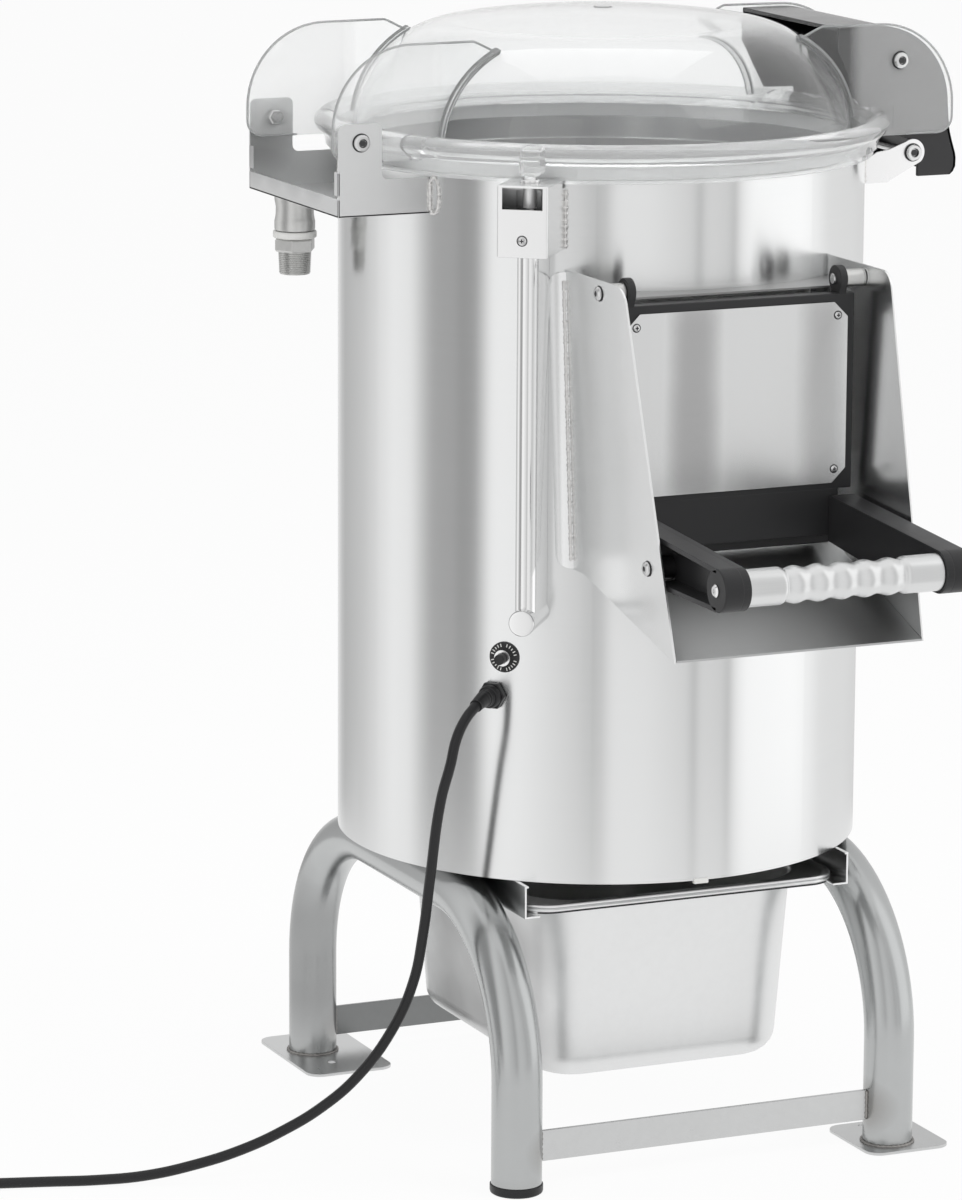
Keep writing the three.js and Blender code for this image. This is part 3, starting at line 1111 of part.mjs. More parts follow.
function addChute() {
  const cornerY = CHUTE_TOP_Y + CHUTE_TOP_CORNER;
  const outline = [
    [0, CHUTE_TOP_Z], ...arc([cornerY, CHUTE_TOP_Z - CHUTE_TOP_CORNER], CHUTE_TOP_CORNER, 90, 170, 5),
    [CHUTE_FOOT_Y, CHUTE_FOOT_Z], [CHUTE_REAR_Y, CHUTE_REAR_Z], [0, CHUTE_REAR_Z],
  ];
  const inside = (x, z) => x - SHEET - GAP + CHUTE_SLOPE * (z - CHUTE_FOOT_Z);
  const low = CHUTE_FOOT_Z - OVERCUT;
  const high = CHUTE_TOP_Z;
  const between = () => slab("y", [
    [-inside(CHUTE_FOOT_X, low), low], [inside(CHUTE_FOOT_X, low), low],
    [inside(CHUTE_FOOT_X, high), high], [-inside(CHUTE_FOOT_X, high), high],
  ], CHUTE_FOOT_Y - OVERCUT, 0);
  const hole = (radius, y, z) =>
    turned("x", [[radius, -CHUTE_TOP_X, CHUTE_TOP_X + OVERCUT]], [0, y, z]);
  const flangeRing = ring(
    ON_DRUM + SHEET, ON_DRUM, CHUTE_REAR_Z + SEAT, CHUTE_TOP_Z - FLANGE_TOP_INSET);
  for (const [name, side] of [["left", -1], ["right", 1]]) {
    const panel = leanOut(slab("x", outline, -SHEET, 0), side);
    const strip = block([-SHEET, FLANGE_WIDTH], [-DRUM_RADIUS, 0], [CHUTE_REAR_Z, CHUTE_TOP_Z]);
    const flange = overlap(flangeRing, leanOut(strip, side));
    const pinHole = hole(DOOR_PIN_RADIUS + GAP, DOOR_HINGE_Y, DOOR_HINGE_Z);
    const studHole = hole(STUD_SHANK + GAP, STUD_Y, STUD_Z);
    add(`chute_side_${name}`, STEEL, cut(join(panel, flange), drumCutter(), pinHole, studHole));
  }
  const footY = CHUTE_FOOT_Y + GAP;
  const footZ = CHUTE_FOOT_Z + GAP;
  const [rearY, rearZ] = [FLOOR_REAR_INSET - DRUM_RADIUS, FLOOR_REAR_Z];
  const rise = (rearZ - footZ) / (rearY - footY);
  const insideZ = rearZ - rise * rearY;
  const floor = slab("x", [
    [footY, footZ], [0, insideZ], [0, insideZ + SHEET], [footY, footZ + SHEET],
  ], -CHUTE_TOP_X, CHUTE_TOP_X);
  add("chute_floor", STEEL, cut(overlap(floor, between()), drumCutter()));
  const roof = block([-CHUTE_TOP_X, CHUTE_TOP_X], [-ON_DRUM - ROOF_DEPTH, 0], [ROOF_Z, ROOF_Z + SHEET]);
  add("chute_top", STEEL, cut(overlap(roof, between()), drumCutter()));
}

// Door

const DOOR_BACK_Y = DOOR_FACE_Y + DOOR_THICK;

function addDoor() {
  const slabY = [DOOR_FACE_Y, DOOR_BACK_Y];
  const parts = [
    block([-DOOR_HALF_WIDTH, DOOR_HALF_WIDTH], slabY, [DOOR_STEP_Z, DOOR_TOP]),
    block([-DOOR_FOOT_HALF_WIDTH, DOOR_FOOT_HALF_WIDTH], slabY, [DOOR_FOOT_Z, DOOR_STEP_Z + SEAT]),
    block([BLOCK_CLEAR - MOUTH_HALF_WIDTH, MOUTH_HALF_WIDTH - BLOCK_CLEAR],
      [DOOR_BACK_Y - SEAT, DOOR_BACK_Y + PLUG_DEPTH], [MOUTH_BOTTOM + BLOCK_LIFT, MOUTH_TOP - BLOCK_CLEAR]),
  ];
  const earOutline = [
    [DOOR_HINGE_Y - DOOR_EAR_RADIUS / 2, DOOR_TOP - DOOR_EAR_RADIUS / 2],
    [DOOR_BACK_Y, DOOR_TOP - DOOR_EAR_RADIUS / 2],
    ...arc([DOOR_HINGE_Y, DOOR_HINGE_Z], DOOR_EAR_RADIUS, -50, 215, 12),
  ];
  for (const side of [-1, 1]) {
    const faces = [side * DOOR_EAR_X, side * (DOOR_EAR_X + DOOR_EAR_THICK)].sort((a, b) => a - b);
    parts.push(slab("x", earOutline, ...faces));
  }
  const hole = turned("x",
    [[DOOR_PIN_RADIUS + GAP, -DOOR_HALF_WIDTH, DOOR_HALF_WIDTH]], [0, DOOR_HINGE_Y, DOOR_HINGE_Z]);
  add("door_panel", BLACK, cut(join(...parts), hole));

  const c = PLATE_CHAMFER;
  const [w, bottom, top] = [PLATE_HALF_WIDTH, PLATE_BOTTOM, PLATE_TOP];
  const plate = [
    [c - w, bottom], [w - c, bottom], [w, bottom + c], [w, top - c],
    [w - c, top], [c - w, top], [-w, top - c], [-w, bottom + c],
  ];
  const plateBack = DOOR_FACE_Y - GAP;
  add("door_plate", STEEL, slab("y", plate, plateBack - PLATE_THICK, plateBack));
}

// One arm on the +X side; the other is its mirror image.
function doorArm() {
  const tip = [ARM_TIP_Y, ARM_TIP_Z];
  const stud = [STUD_Y, STUD_Z];
  const hook = STUD_RADIUS + RUN;
  const root = DOOR_FACE_Y - GAP;
  const tipTop = ARM_TIP_Z + ARM_TIP_RADIUS;
  const web = [
    [root, ARM_ROOT_BOTTOM], [root, ARM_ROOT_TOP], [ARM_TIP_Y, tipTop],
    ...arc(tip, ARM_TIP_RADIUS, 100, 260, 8), [ARM_TIP_Y, ARM_TIP_Z - ARM_TIP_RADIUS],
    [STUD_Y, STUD_Z - hook - 2 * ARM_BORDER],
  ];
  const inner = ARM_INNER_X + ARM_WEB - SEAT;
  const bar = (outline) => slab("x", outline, inner, ARM_OUTER_X);
  return join(
    slab("x", web, ARM_INNER_X, ARM_INNER_X + ARM_WEB),
    bar([[root, ARM_ROOT_TOP], [ARM_TIP_Y, tipTop], [ARM_TIP_Y, tipTop - ARM_BORDER],
      [root, ARM_ROOT_TOP - ARM_BORDER]]),
    bar(arc(tip, ARM_TIP_RADIUS, 0, 360, 20).slice(0, 20)),
    bar([[ARM_TIP_Y, ARM_TIP_Z - ARM_TIP_RADIUS], [STUD_Y - hook, STUD_Z - hook - 2 * ARM_BORDER],
      [STUD_Y - hook, STUD_Z - hook - ARM_BORDER], [ARM_TIP_Y, ARM_TIP_Z - ARM_TIP_RADIUS + ARM_BORDER]]),
    bar([...arc(stud, hook + ARM_BORDER, 50, 250, 10), ...arc(stud, hook, 250, 50, 10)]),
    bar([[root, ARM_ROOT_TOP], [root, ARM_ROOT_TOP - 3 * ARM_BORDER],
      [root - ARM_BORDER, ARM_ROOT_TOP - 3 * ARM_BORDER], [root - ARM_BORDER, ARM_ROOT_TOP]]));
}

function addArms() {
  add("door_arm_right", BLACK, doorArm());
  add("door_arm_left", BLACK, doorArm().scale(-1, 1, 1));

  const end = ARM_INNER_X - GAP;
  const valley = GRIP_RADIUS - GRIP_RIDGE_DEPTH;
  const first = (-GRIP_RIDGES * GRIP_RIDGE_LENGTH) / 2;
  const ridges = Array.from({ length: GRIP_RIDGES }, (_, i) => {
    const from = first + i * GRIP_RIDGE_LENGTH;
    return [
      [valley, from], [GRIP_RADIUS, from + GRIP_RIDGE_LENGTH / 3],
      [GRIP_RADIUS, from + (2 * GRIP_RIDGE_LENGTH) / 3],
    ];
  }).flat();
  const profile = [
    [0, -end], [GRIP_RADIUS, -end], [GRIP_RADIUS, first - GRIP_RIDGE_DEPTH],
    ...ridges, [valley, -first], [GRIP_RADIUS, GRIP_RIDGE_DEPTH - first], [GRIP_RADIUS, end], [0, end],
  ];
  add("door_grip", STEEL, spin(profile, ROUND).rotateY(quarter).translate(0, ARM_TIP_Y, ARM_TIP_Z));
}

// The outer face of a chute side at a height.
const sideX = (z) => CHUTE_FOOT_X + CHUTE_SLOPE * (z - CHUTE_FOOT_Z);

function addDoorPins() {
  const pinOut = sideX(DOOR_HINGE_Z);
  const earIn = DOOR_EAR_X - GAP;
  const earOut = DOOR_EAR_X + DOOR_EAR_THICK + GAP;
  const studOut = sideX(STUD_Z);
  const pieces = [
    ["door_pin", [
      [PIN_HEAD_RADIUS, earIn - PIN_HEAD_THICK, earIn], [DOOR_PIN_RADIUS, earIn, earOut],
      [DOOR_SPACER_RADIUS, earOut, pinOut - SHEET - 2 * GAP],
      [DOOR_PIN_RADIUS, pinOut - SHEET - 2 * GAP, pinOut + 2 * GAP],
      [PIN_HEAD_RADIUS, pinOut + 2 * GAP, pinOut + 2 * GAP + PIN_HEAD_THICK],
    ], DOOR_HINGE_Y, DOOR_HINGE_Z],
    ["catch_stud", [
      [STUD_RADIUS, ARM_INNER_X + ARM_WEB + 2 * RUN, studOut - SHEET - 2 * GAP],
      [STUD_SHANK, studOut - SHEET - 2 * GAP, studOut + 2 * GAP],
      [PIN_HEAD_RADIUS, studOut + 2 * GAP, studOut + 2 * GAP + PIN_HEAD_THICK],
    ], STUD_Y, STUD_Z],
  ];
  for (const [name, steps, y, z] of pieces) {
    add(`${name}_right`, STEEL, turned("x", steps, [0, y, z], FEW));
    add(`${name}_left`, STEEL, turned("x", steps, [0, y, z], FEW).scale(-1, 1, 1));
  }
}

addStand();
addRails();
addPan();
addDrum();
addDrive();
addLid();
addHinge();
addInlet();
addLatch();
addInterlock();
addElectrics();
addCord();
addChute();
addDoor();
addArms();
addDoorPins();

// Moves everything so that the origin is under the middle of the machine without its cord.
const ON_CORD = ["power_cord", "cord_coil", "power_plug"];
const box = new THREE.Box3();
for (const mesh of machine.children) {
  if (!ON_CORD.includes(mesh.name)) box.expandByObject(mesh);
}
const middle = box.getCenter(new THREE.Vector3());
for (const mesh of machine.children) mesh.geometry.translate(-middle.x, -middle.y, -box.min.z);
console.log(`moved by ${-middle.x} ${-middle.y} ${-box.min.z}`);

export default machine;
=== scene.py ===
import math

import bmesh
import bpy
from mathutils import Matrix, Vector


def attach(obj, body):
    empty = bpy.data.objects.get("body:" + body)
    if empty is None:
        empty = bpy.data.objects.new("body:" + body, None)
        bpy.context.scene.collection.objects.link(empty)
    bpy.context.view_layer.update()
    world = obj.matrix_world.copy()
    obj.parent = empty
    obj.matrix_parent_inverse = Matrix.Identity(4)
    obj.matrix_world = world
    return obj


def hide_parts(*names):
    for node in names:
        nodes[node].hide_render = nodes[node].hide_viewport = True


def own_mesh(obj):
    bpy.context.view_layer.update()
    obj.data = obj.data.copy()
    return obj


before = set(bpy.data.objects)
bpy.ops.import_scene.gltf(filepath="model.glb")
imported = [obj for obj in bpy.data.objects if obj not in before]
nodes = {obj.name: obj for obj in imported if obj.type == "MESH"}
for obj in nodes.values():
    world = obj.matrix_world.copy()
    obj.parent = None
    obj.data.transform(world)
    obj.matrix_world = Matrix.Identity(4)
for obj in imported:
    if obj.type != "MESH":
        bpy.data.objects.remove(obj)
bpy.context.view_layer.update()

# Shapes are drawn in millimetres round the drum's axis, +Z up, then moved into the frame in metres.
MM = 0.001
AXIS = Vector((-3.5, 109.5, 0.0))
QUARTER = math.pi / 2
TURN = 2 * math.pi


def place(point):
    return (Vector(point) + AXIS) * MM


# ---- camera ----

IMAGE_HEIGHT = 1200
FOCAL_PIXELS = 5725.457
SENSOR = 36.0

camera_data = bpy.data.cameras.new("camera")
camera_data.sensor_fit = "VERTICAL"
camera_data.sensor_height = SENSOR
camera_data.lens = FOCAL_PIXELS * SENSOR / IMAGE_HEIGHT
camera_data.clip_end = 200
camera = bpy.data.objects.new("camera", camera_data)
bpy.context.scene.collection.objects.link(camera)
right = Vector((0.91438253, -0.40481961, 0.00506671))
up = Vector((0.07824435, 0.18898506, 0.97885774))
forward = Vector((0.39721834, 0.89465397, -0.20447949))
camera.matrix_world = Matrix.Translation((-2.336294, -4.864417, 1.652662)) @ Matrix(
    (right, up, -forward)).transposed().to_4x4()
bpy.context.scene.camera = camera


# ---- mesh helpers: each returns a bmesh in millimetres ----

def mesh_from(verts, faces):
    bm = bmesh.new()
    made = [bm.verts.new(v) for v in verts]
    for face in faces:
        corners = []
        for i in face:
            if made[i] not in corners:
                corners.append(made[i])
        if len(corners) > 2:
            try:
                bm.faces.new(corners)
            except ValueError:
                pass
    bmesh.ops.remove_doubles(bm, verts=bm.verts, dist=1e-4)
    bmesh.ops.recalc_face_normals(bm, faces=bm.faces)
    return bm


def soften(bm, width, segments=2, angle=30):
    """Rounds every edge sharper than angle."""
    if width <= 0:
        return bm
    limit = math.radians(angle)
    edges = [e for e in bm.edges if len(e.link_faces) == 2 and e.calc_face_angle(0) > limit]
    bmesh.ops.bevel(bm, geom=edges, offset=width, offset_type="OFFSET", segments=segments,
                    profile=0.5, affect="EDGES", clamp_overlap=True)
    return bm


AXES = {"x": (1, 2, 0), "y": (0, 2, 1), "z": (0, 1, 2)}


def prism(axis, outline, start, end, round_by=0.0, segments=2, angle=30):
    """Extrudes an outline, given as [y, z], [x, z] or [x, y], along an axis."""
    a, b, c = AXES[axis]
    verts = []
    for level in (start, end):
        for p, q in outline:
            v = [0.0, 0.0, 0.0]
            v[a], v[b], v[c] = p, q, level
            verts.append(v)
    n = len(outline)
    faces = [tuple(range(n)), tuple(range(2 * n - 1, n - 1, -1))]
    faces += [(i, (i + 1) % n, n + (i + 1) % n, n + i) for i in range(n)]
    return soften(mesh_from(verts, faces), round_by, segments, angle)


def box(x, y, z, round_by=0.0, segments=2):
    return prism("z", [(x[0], y[0]), (x[1], y[0]), (x[1], y[1]), (x[0], y[1])], z[0], z[1],
                 round_by, segments)


def lathe(profile, sides=96, axis="z", at=(0, 0, 0), closed=True):
    """Turns a profile of [radius, height] round an axis."""
    verts = []
    for i in range(sides):
        angle = TURN * i / sides
        verts += [(r * math.cos(angle), r * math.sin(angle), h) for r, h in profile]
    n = len(profile)
    spans = n if closed else n - 1
    faces = []
    for i in range(sides):
        j = (i + 1) % sides
        for k in range(spans):
            m = (k + 1) % n
            faces.append((i * n + k, j * n + k, j * n + m, i * n + m))
    bm = bmesh.new()
    made = []
    poles = {}
    for index, v in enumerate(verts):
        k = index % n
        if profile[k][0] == 0:
            if k not in poles:
                poles[k] = bm.verts.new(v)
            made.append(poles[k])
        else:
            made.append(bm.verts.new(v))
    for face in faces:
        corners = []
        for i in face:
            if made[i] not in corners:
                corners.append(made[i])
        if len(corners) > 2:
            bm.faces.new(corners)
    bmesh.ops.recalc_face_normals(bm, faces=bm.faces)
    turned = {"z": Matrix(), "x": Matrix.Rotation(QUARTER, 4, "Y"), "y": Matrix.Rotation(-QUARTER, 4, "X")}
    return move(bm, Matrix.Translation(at) @ turned[axis])


def arc(centre, radius, start, end, steps=8):
    return [(centre[0] + radius * math.cos(math.radians(start + (end - start) * i / steps)),
             centre[1] + radius * math.sin(math.radians(start + (end - start) * i / steps)))
            for i in range(steps + 1)]


def tube(points, radii, sides=24):
    """A closed round tube along points, with one radius or one for each point."""
    points = [Vector(p) for p in points]
    if not isinstance(radii, (list, tuple)):
        radii = [radii] * len(points)
    tangents = []
    for i in range(len(points)):
        before, after = points[max(i - 1, 0)], points[min(i + 1, len(points) - 1)]
        tangents.append((after - before).normalized())
    side = tangents[0].orthogonal().normalized()
    verts = []
    for i, p in enumerate(points):
        side = (side - tangents[i] * side.dot(tangents[i])).normalized()
        other = tangents[i].cross(side)
        for k in range(sides):
            angle = TURN * k / sides
            verts.append(p + (side * math.cos(angle) + other * math.sin(angle)) * radii[i])
    faces = []
    for i in range(len(points) - 1):
        for k in range(sides):
            m = (k + 1) % sides
            faces.append((i * sides + k, i * sides + m, (i + 1) * sides + m, (i + 1) * sides + k))
    last = (len(points) - 1) * sides
    faces.append(tuple(range(sides - 1, -1, -1)))
    faces.append(tuple(range(last, last + sides)))
    return mesh_from(verts, faces)


def move(bm, matrix):
    bmesh.ops.transform(bm, matrix=matrix, verts=bm.verts)
    if matrix.to_3x3().determinant() < 0:
        bmesh.ops.reverse_faces(bm, faces=bm.faces)
    return bm


def shift(bm, x=0.0, y=0.0, z=0.0):
    return move(bm, Matrix.Translation((x, y, z)))


def spoke(bm, angle):
    """Turns a shape drawn facing -Y onto a spoke of the drum."""
    return move(bm, Matrix.Rotation(math.radians(angle) + QUARTER, 4, "Z"))


def mirrored(bm, axis):
    copy = bm.copy()
    scale = Vector((1, 1, 1))
    scale["xyz".index(axis)] = -1
    return move(copy, Matrix.Diagonal((*scale, 1)))


def gather(*shapes):
    """Puts several bodies in one mesh."""
    result = bmesh.new()
    for shape in shapes:
        mesh = bpy.data.meshes.new("part")
        shape.to_mesh(mesh)
        result.from_mesh(mesh)
        bpy.data.meshes.remove(mesh)
    return result


def boolean(body, tool, operation="DIFFERENCE"):
    made = []
    for shape in (body, tool):
        mesh = bpy.data.meshes.new("part")
        shape.to_mesh(mesh)
        made.append(bpy.data.objects.new("part", mesh))
        bpy.context.scene.collection.objects.link(made[-1])
    modifier = made[0].modifiers.new("cut", "BOOLEAN")
    modifier.operation = operation
    modifier.object = made[1]
    modifier.solver = "EXACT"
    modifier.use_self = operation == "UNION"
    evaluated = made[0].evaluated_get(bpy.context.evaluated_depsgraph_get())
    result = bmesh.new()
    result.from_mesh(evaluated.to_mesh())
    evaluated.to_mesh_clear()
    for part in made:
        mesh = part.data
        bpy.data.objects.remove(part)
        bpy.data.meshes.remove(mesh)
    return result


def piece(name, shape, look, body="frame", instead=(), sharp=35, weigh=True):
    """Makes one object of a shape, with its material, and lets it ride on a body."""
    bmesh.ops.remove_doubles(shape, verts=shape.verts, dist=1e-4)
    limit = math.radians(sharp)
    for face in shape.faces:
        face.smooth = True
    for edge in shape.edges:
        edge.smooth = len(edge.link_faces) != 2 or edge.calc_face_angle(0) < limit
    for vert in shape.verts:
        vert.co = place(vert.co)
    mesh = bpy.data.meshes.new(name)
    shape.to_mesh(mesh)
    shape.free()
    mesh.materials.append(look)
    obj = bpy.data.objects.new(name, mesh)
    bpy.context.scene.collection.objects.link(obj)
    if weigh:
        modifier = obj.modifiers.new("normals", "WEIGHTED_NORMAL")
        modifier.keep_sharp = True
    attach(obj, body)
    if instead:
        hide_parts(*instead)
    return obj


# ---- materials ----

def link(tree, source, target):
    tree.links.new(source, target)


def math_node(tree, operation, *values, clamp=False):
    node = tree.nodes.new("ShaderNodeMath")
    node.operation = operation
    node.use_clamp = clamp
    for socket, value in zip(node.inputs, values):
        if hasattr(value, "links"):
            link(tree, value, socket)
        else:
            socket.default_value = value
    return node.outputs[0]


def noise_node(tree, vector, scale, stretch=(1, 1, 1), detail=3.0, rough=0.55):
    mapping = tree.nodes.new("ShaderNodeMapping")
    mapping.inputs["Scale"].default_value = stretch
    link(tree, vector, mapping.inputs["Vector"])
    node = tree.nodes.new("ShaderNodeTexNoise")
    node.inputs["Scale"].default_value = scale
    node.inputs["Detail"].default_value = detail
    node.inputs["Roughness"].default_value = rough
    link(tree, mapping.outputs[0], node.inputs["Vector"])
    return node.outputs["Fac"]


def remap(tree, value, low, high, to_low, to_high):
    node = tree.nodes.new("ShaderNodeMapRange")
    for socket, number in zip(("From Min", "From Max", "To Min", "To Max"), (low, high, to_low, to_high)):
        node.inputs[socket].default_value = number
    link(tree, value, node.inputs["Value"])
    return node.outputs[0]


def blend_colours(tree, factor, first, second):
    node = tree.nodes.new("ShaderNodeMix")
    node.data_type = "RGBA"
    link(tree, factor, node.inputs["Factor"])
    for socket, value in ((node.inputs[6], first), (node.inputs[7], second)):
        if hasattr(value, "links"):
            link(tree, value, socket)
        else:
            socket.default_value = (*value, 1.0)
    return node.outputs[2]


def round_the_drum(tree, vector):
    """Object coordinates as metres along the wall and height."""
    split = tree.nodes.new("ShaderNodeSeparateXYZ")
    link(tree, vector, split.inputs[0])
    x = math_node(tree, "SUBTRACT", split.outputs[0], AXIS.x * MM)
    y = math_node(tree, "SUBTRACT", split.outputs[1], AXIS.y * MM)
    angle = math_node(tree, "ARCTAN2", y, x)
    along = math_node(tree, "MULTIPLY", angle, 0.254)
    join = tree.nodes.new("ShaderNodeCombineXYZ")
    link(tree, along, join.inputs[0])
    link(tree, split.outputs[2], join.inputs[1])
    return join.outputs[0]


def surface(name, colour, roughness, metallic=0.0, grain=(60, 60, 60), bump=0.1, depth=0.00005,
            cloud=7.0, tint=0.05, spread=0.05, wrap=False, wear=0.0, marks=(), radial=False, **sockets):
    """A material whose colour, roughness and bump vary by a stretched grain and by soft clouds.

    marks are places painted another colour, such as heat tint, painted shade and painted reflection: (point in mm,
    reach in mm, colour, strength).
    """
    material = bpy.data.materials.new(name)
    material.use_nodes = True
    tree = material.node_tree
    shader = tree.nodes["Principled BSDF"]
    shader.inputs["Metallic"].default_value = metallic
    for key, value in sockets.items():
        shader.inputs[key.replace("_", " ")].default_value = value
    where = tree.nodes.new("ShaderNodeTexCoord").outputs["Object"]
    vector = round_the_drum(tree, where) if wrap else where
    lines = noise_node(tree, vector, 1.0, grain, 4.0, 0.6)
    clouds = noise_node(tree, vector, cloud, detail=3.0)
    mixed = math_node(tree, "ADD", math_node(tree, "MULTIPLY", lines, 0.5),
                      math_node(tree, "MULTIPLY", clouds, 0.5))
    level = remap(tree, mixed, 0.3, 0.7, 0.0, 1.0)
    dark = tuple(max(c * (1 - tint), 0.0) for c in colour)
    light = tuple(min(c * (1 + tint), 1.0) for c in colour)
    shade = blend_colours(tree, level, dark, light)
    rough = remap(tree, mixed, 0.3, 0.7, max(roughness - spread, 0.02), roughness + spread)
    for point, reach, mark_colour, strength in marks:
        distance = tree.nodes.new("ShaderNodeVectorMath")
        distance.operation = "DISTANCE"
        link(tree, where, distance.inputs[0])
        distance.inputs[1].default_value = place(point)
        ragged = math_node(tree, "ADD", distance.outputs["Value"],
                           math_node(tree, "MULTIPLY", clouds, reach * MM * 0.25))
        factor = remap(tree, ragged, reach * MM * 0.45, reach * MM * 1.05, strength, 0.0)
        shade = blend_colours(tree, factor, shade, mark_colour)
    if wear:
        points = tree.nodes.new("ShaderNodeNewGeometry").outputs["Pointiness"]
        edge = remap(tree, points, 0.52, 0.62, 0.0, wear)
        pale = tuple(min(c * 1.6 + 0.04, 1.0) for c in colour)
        shade = blend_colours(tree, edge, shade, pale)
    link(tree, shade, shader.inputs["Base Color"])
    link(tree, rough, shader.inputs["Roughness"])
    if bump:
        node = tree.nodes.new("ShaderNodeBump")
        node.inputs["Strength"].default_value = bump
        node.inputs["Distance"].default_value = depth
        link(tree, lines, node.inputs["Height"])
        link(tree, node.outputs[0], shader.inputs["Normal"])
    if radial:
        tangent = tree.nodes.new("ShaderNodeTangent")
        tangent.direction_type = "RADIAL"
        tangent.axis = "Z"
        link(tree, tangent.outputs[0], shader.inputs["Tangent"])
    return material


STEEL = (0.77, 0.775, 0.775)
HEAT = (0.2, 0.18, 0.16)

drum_steel = surface("drum_steel", STEEL, 0.21, 1.0, grain=(2.5, 900, 1), bump=0.035, cloud=5.0,
                     tint=0.02, spread=0.02, wrap=True, radial=True, Anisotropic=0.8,
                     Anisotropic_Rotation=0.25)
sheet_steel = surface("sheet_steel", (0.8, 0.805, 0.805), 0.3, 1.0, grain=(300, 300, 4), bump=0.015,
                      tint=0.015, spread=0.02)
side_steel = surface("side_steel", (0.91, 0.915, 0.915), 0.24, 1.0, grain=(4, 300, 300), bump=0.012,
                     tint=0.015, spread=0.02)
tray_steel = surface("tray_steel", (0.53, 0.535, 0.535), 0.4, 1.0, grain=(4, 300, 300), bump=0.01,
                     tint=0.015, spread=0.02)
box_steel = surface("box_steel", (0.85, 0.85, 0.85), 0.24, 1.0, grain=(200, 200, 4), bump=0.012,
                    tint=0.015, spread=0.02)
ear_steel = surface("ear_steel", (0.82, 0.82, 0.82), 0.28, 1.0, grain=(60, 60, 60), bump=0.01, tint=0.02,
                    spread=0.03)
duct_steel = surface("duct_steel", (0.82, 0.82, 0.82), 0.13, 1.0, grain=(200, 200, 4), bump=0.01,
                     tint=0.02, spread=0.02)
# Darker patches inside the hinge trough: painted shade.
trough_painted_shade = [((-312, y, 958), 46, (0.36, 0.36, 0.36), 0.65) for y in (-50, 0, 50, 96)]
bracket_steel = surface("bracket_steel", (0.74, 0.745, 0.745), 0.36, 1.0, grain=(60, 60, 60), bump=0.01,
                        tint=0.015, spread=0.03, marks=trough_painted_shade)
# The pan's left wall is painted darker in soft patches: painted shade on its shaded side.
pan_painted_shade = [((-152, y, z), 78, (0.38, 0.38, 0.38), 0.75) for y in (-120, -40, 40) for z in (110, 195)]
pan_steel = surface("pan_steel", (0.8, 0.805, 0.805), 0.36, 1.0, grain=(90, 90, 90), bump=0.08,
                    cloud=12.0, tint=0.03, spread=0.05, marks=pan_painted_shade)
tube_steel = surface("tube_steel", (0.6, 0.605, 0.605), 0.3, 1.0, grain=(120, 9, 120), bump=0.02,
                     cloud=9.0, tint=0.04, spread=0.04)
# The rear cross bar's steel: the front bar's finish, painted darker as painted shade.
bar_steel_painted_shade = surface("bar_steel_painted_shade", (0.22, 0.225, 0.225), 0.3, 1.0, grain=(120, 9, 120), bump=0.02, cloud=9.0,
                    tint=0.05, spread=0.04)
bright_steel = surface("bright_steel", (0.8, 0.8, 0.8), 0.16, 1.0, grain=(300, 300, 300), bump=0.05,
                       tint=0.04, spread=0.05, wear=0.2)
dull_steel = surface("dull_steel", (0.42, 0.42, 0.42), 0.42, 1.0, grain=(220, 220, 220), bump=0.15,
                     tint=0.12, spread=0.08, wear=0.2)
cast_steel = surface("cast_steel", (0.33, 0.34, 0.35), 0.5, 1.0, grain=(500, 500, 500), bump=0.4,
                     depth=0.0002, tint=0.15, spread=0.1, wear=0.3)
satin_metal = surface("satin_metal", (0.72, 0.725, 0.725), 0.3, 1.0, grain=(12, 900, 900), bump=0.06,
                      tint=0.03, spread=0.03)
weld_metal = surface("weld_metal", (0.72, 0.71, 0.70), 0.3, 1.0, grain=(250, 250, 250), bump=0.3,
                     depth=0.0002, tint=0.18, spread=0.08)
scorched = surface("scorched", (0.3, 0.29, 0.28), 0.4, 1.0, grain=(250, 250, 250), bump=0.3,
                   depth=0.0002, tint=0.25, spread=0.08)
black_plastic = surface("black_plastic", (0.012, 0.012, 0.013), 0.42, grain=(2500, 2500, 2500), bump=0.2,
                        depth=0.00004, cloud=20.0, tint=0.25, spread=0.07, wear=0.5, Specular_IOR_Level=0.4)
gloss_plastic = surface("gloss_plastic", (0.008, 0.008, 0.009), 0.2, grain=(500, 500, 500), bump=0.03,
                        cloud=15.0, tint=0.3, spread=0.05, wear=0.4)
black_rubber = surface("black_rubber", (0.011, 0.011, 0.012), 0.38, grain=(1500, 1500, 1500), bump=0.15,
                       depth=0.00006, cloud=30.0, tint=0.25, spread=0.06, wear=0.3, Specular_IOR_Level=0.35)
white_plastic = surface("white_plastic", (0.82, 0.82, 0.8), 0.4, grain=(600, 600, 600), bump=0.08,
                        tint=0.03, spread=0.05)
grit_coat = surface("grit_coat", (0.2, 0.2, 0.2), 0.8, grain=(900, 900, 900), bump=1.0, depth=0.0008,
                    tint=0.35, spread=0.1)
lid_clear = surface("lid_clear", (0.985, 0.99, 0.99), 0.035, grain=(40, 40, 40), bump=0.02,
                    depth=0.0001, tint=0.008, spread=0.015, Transmission_Weight=0.94, IOR=1.3)


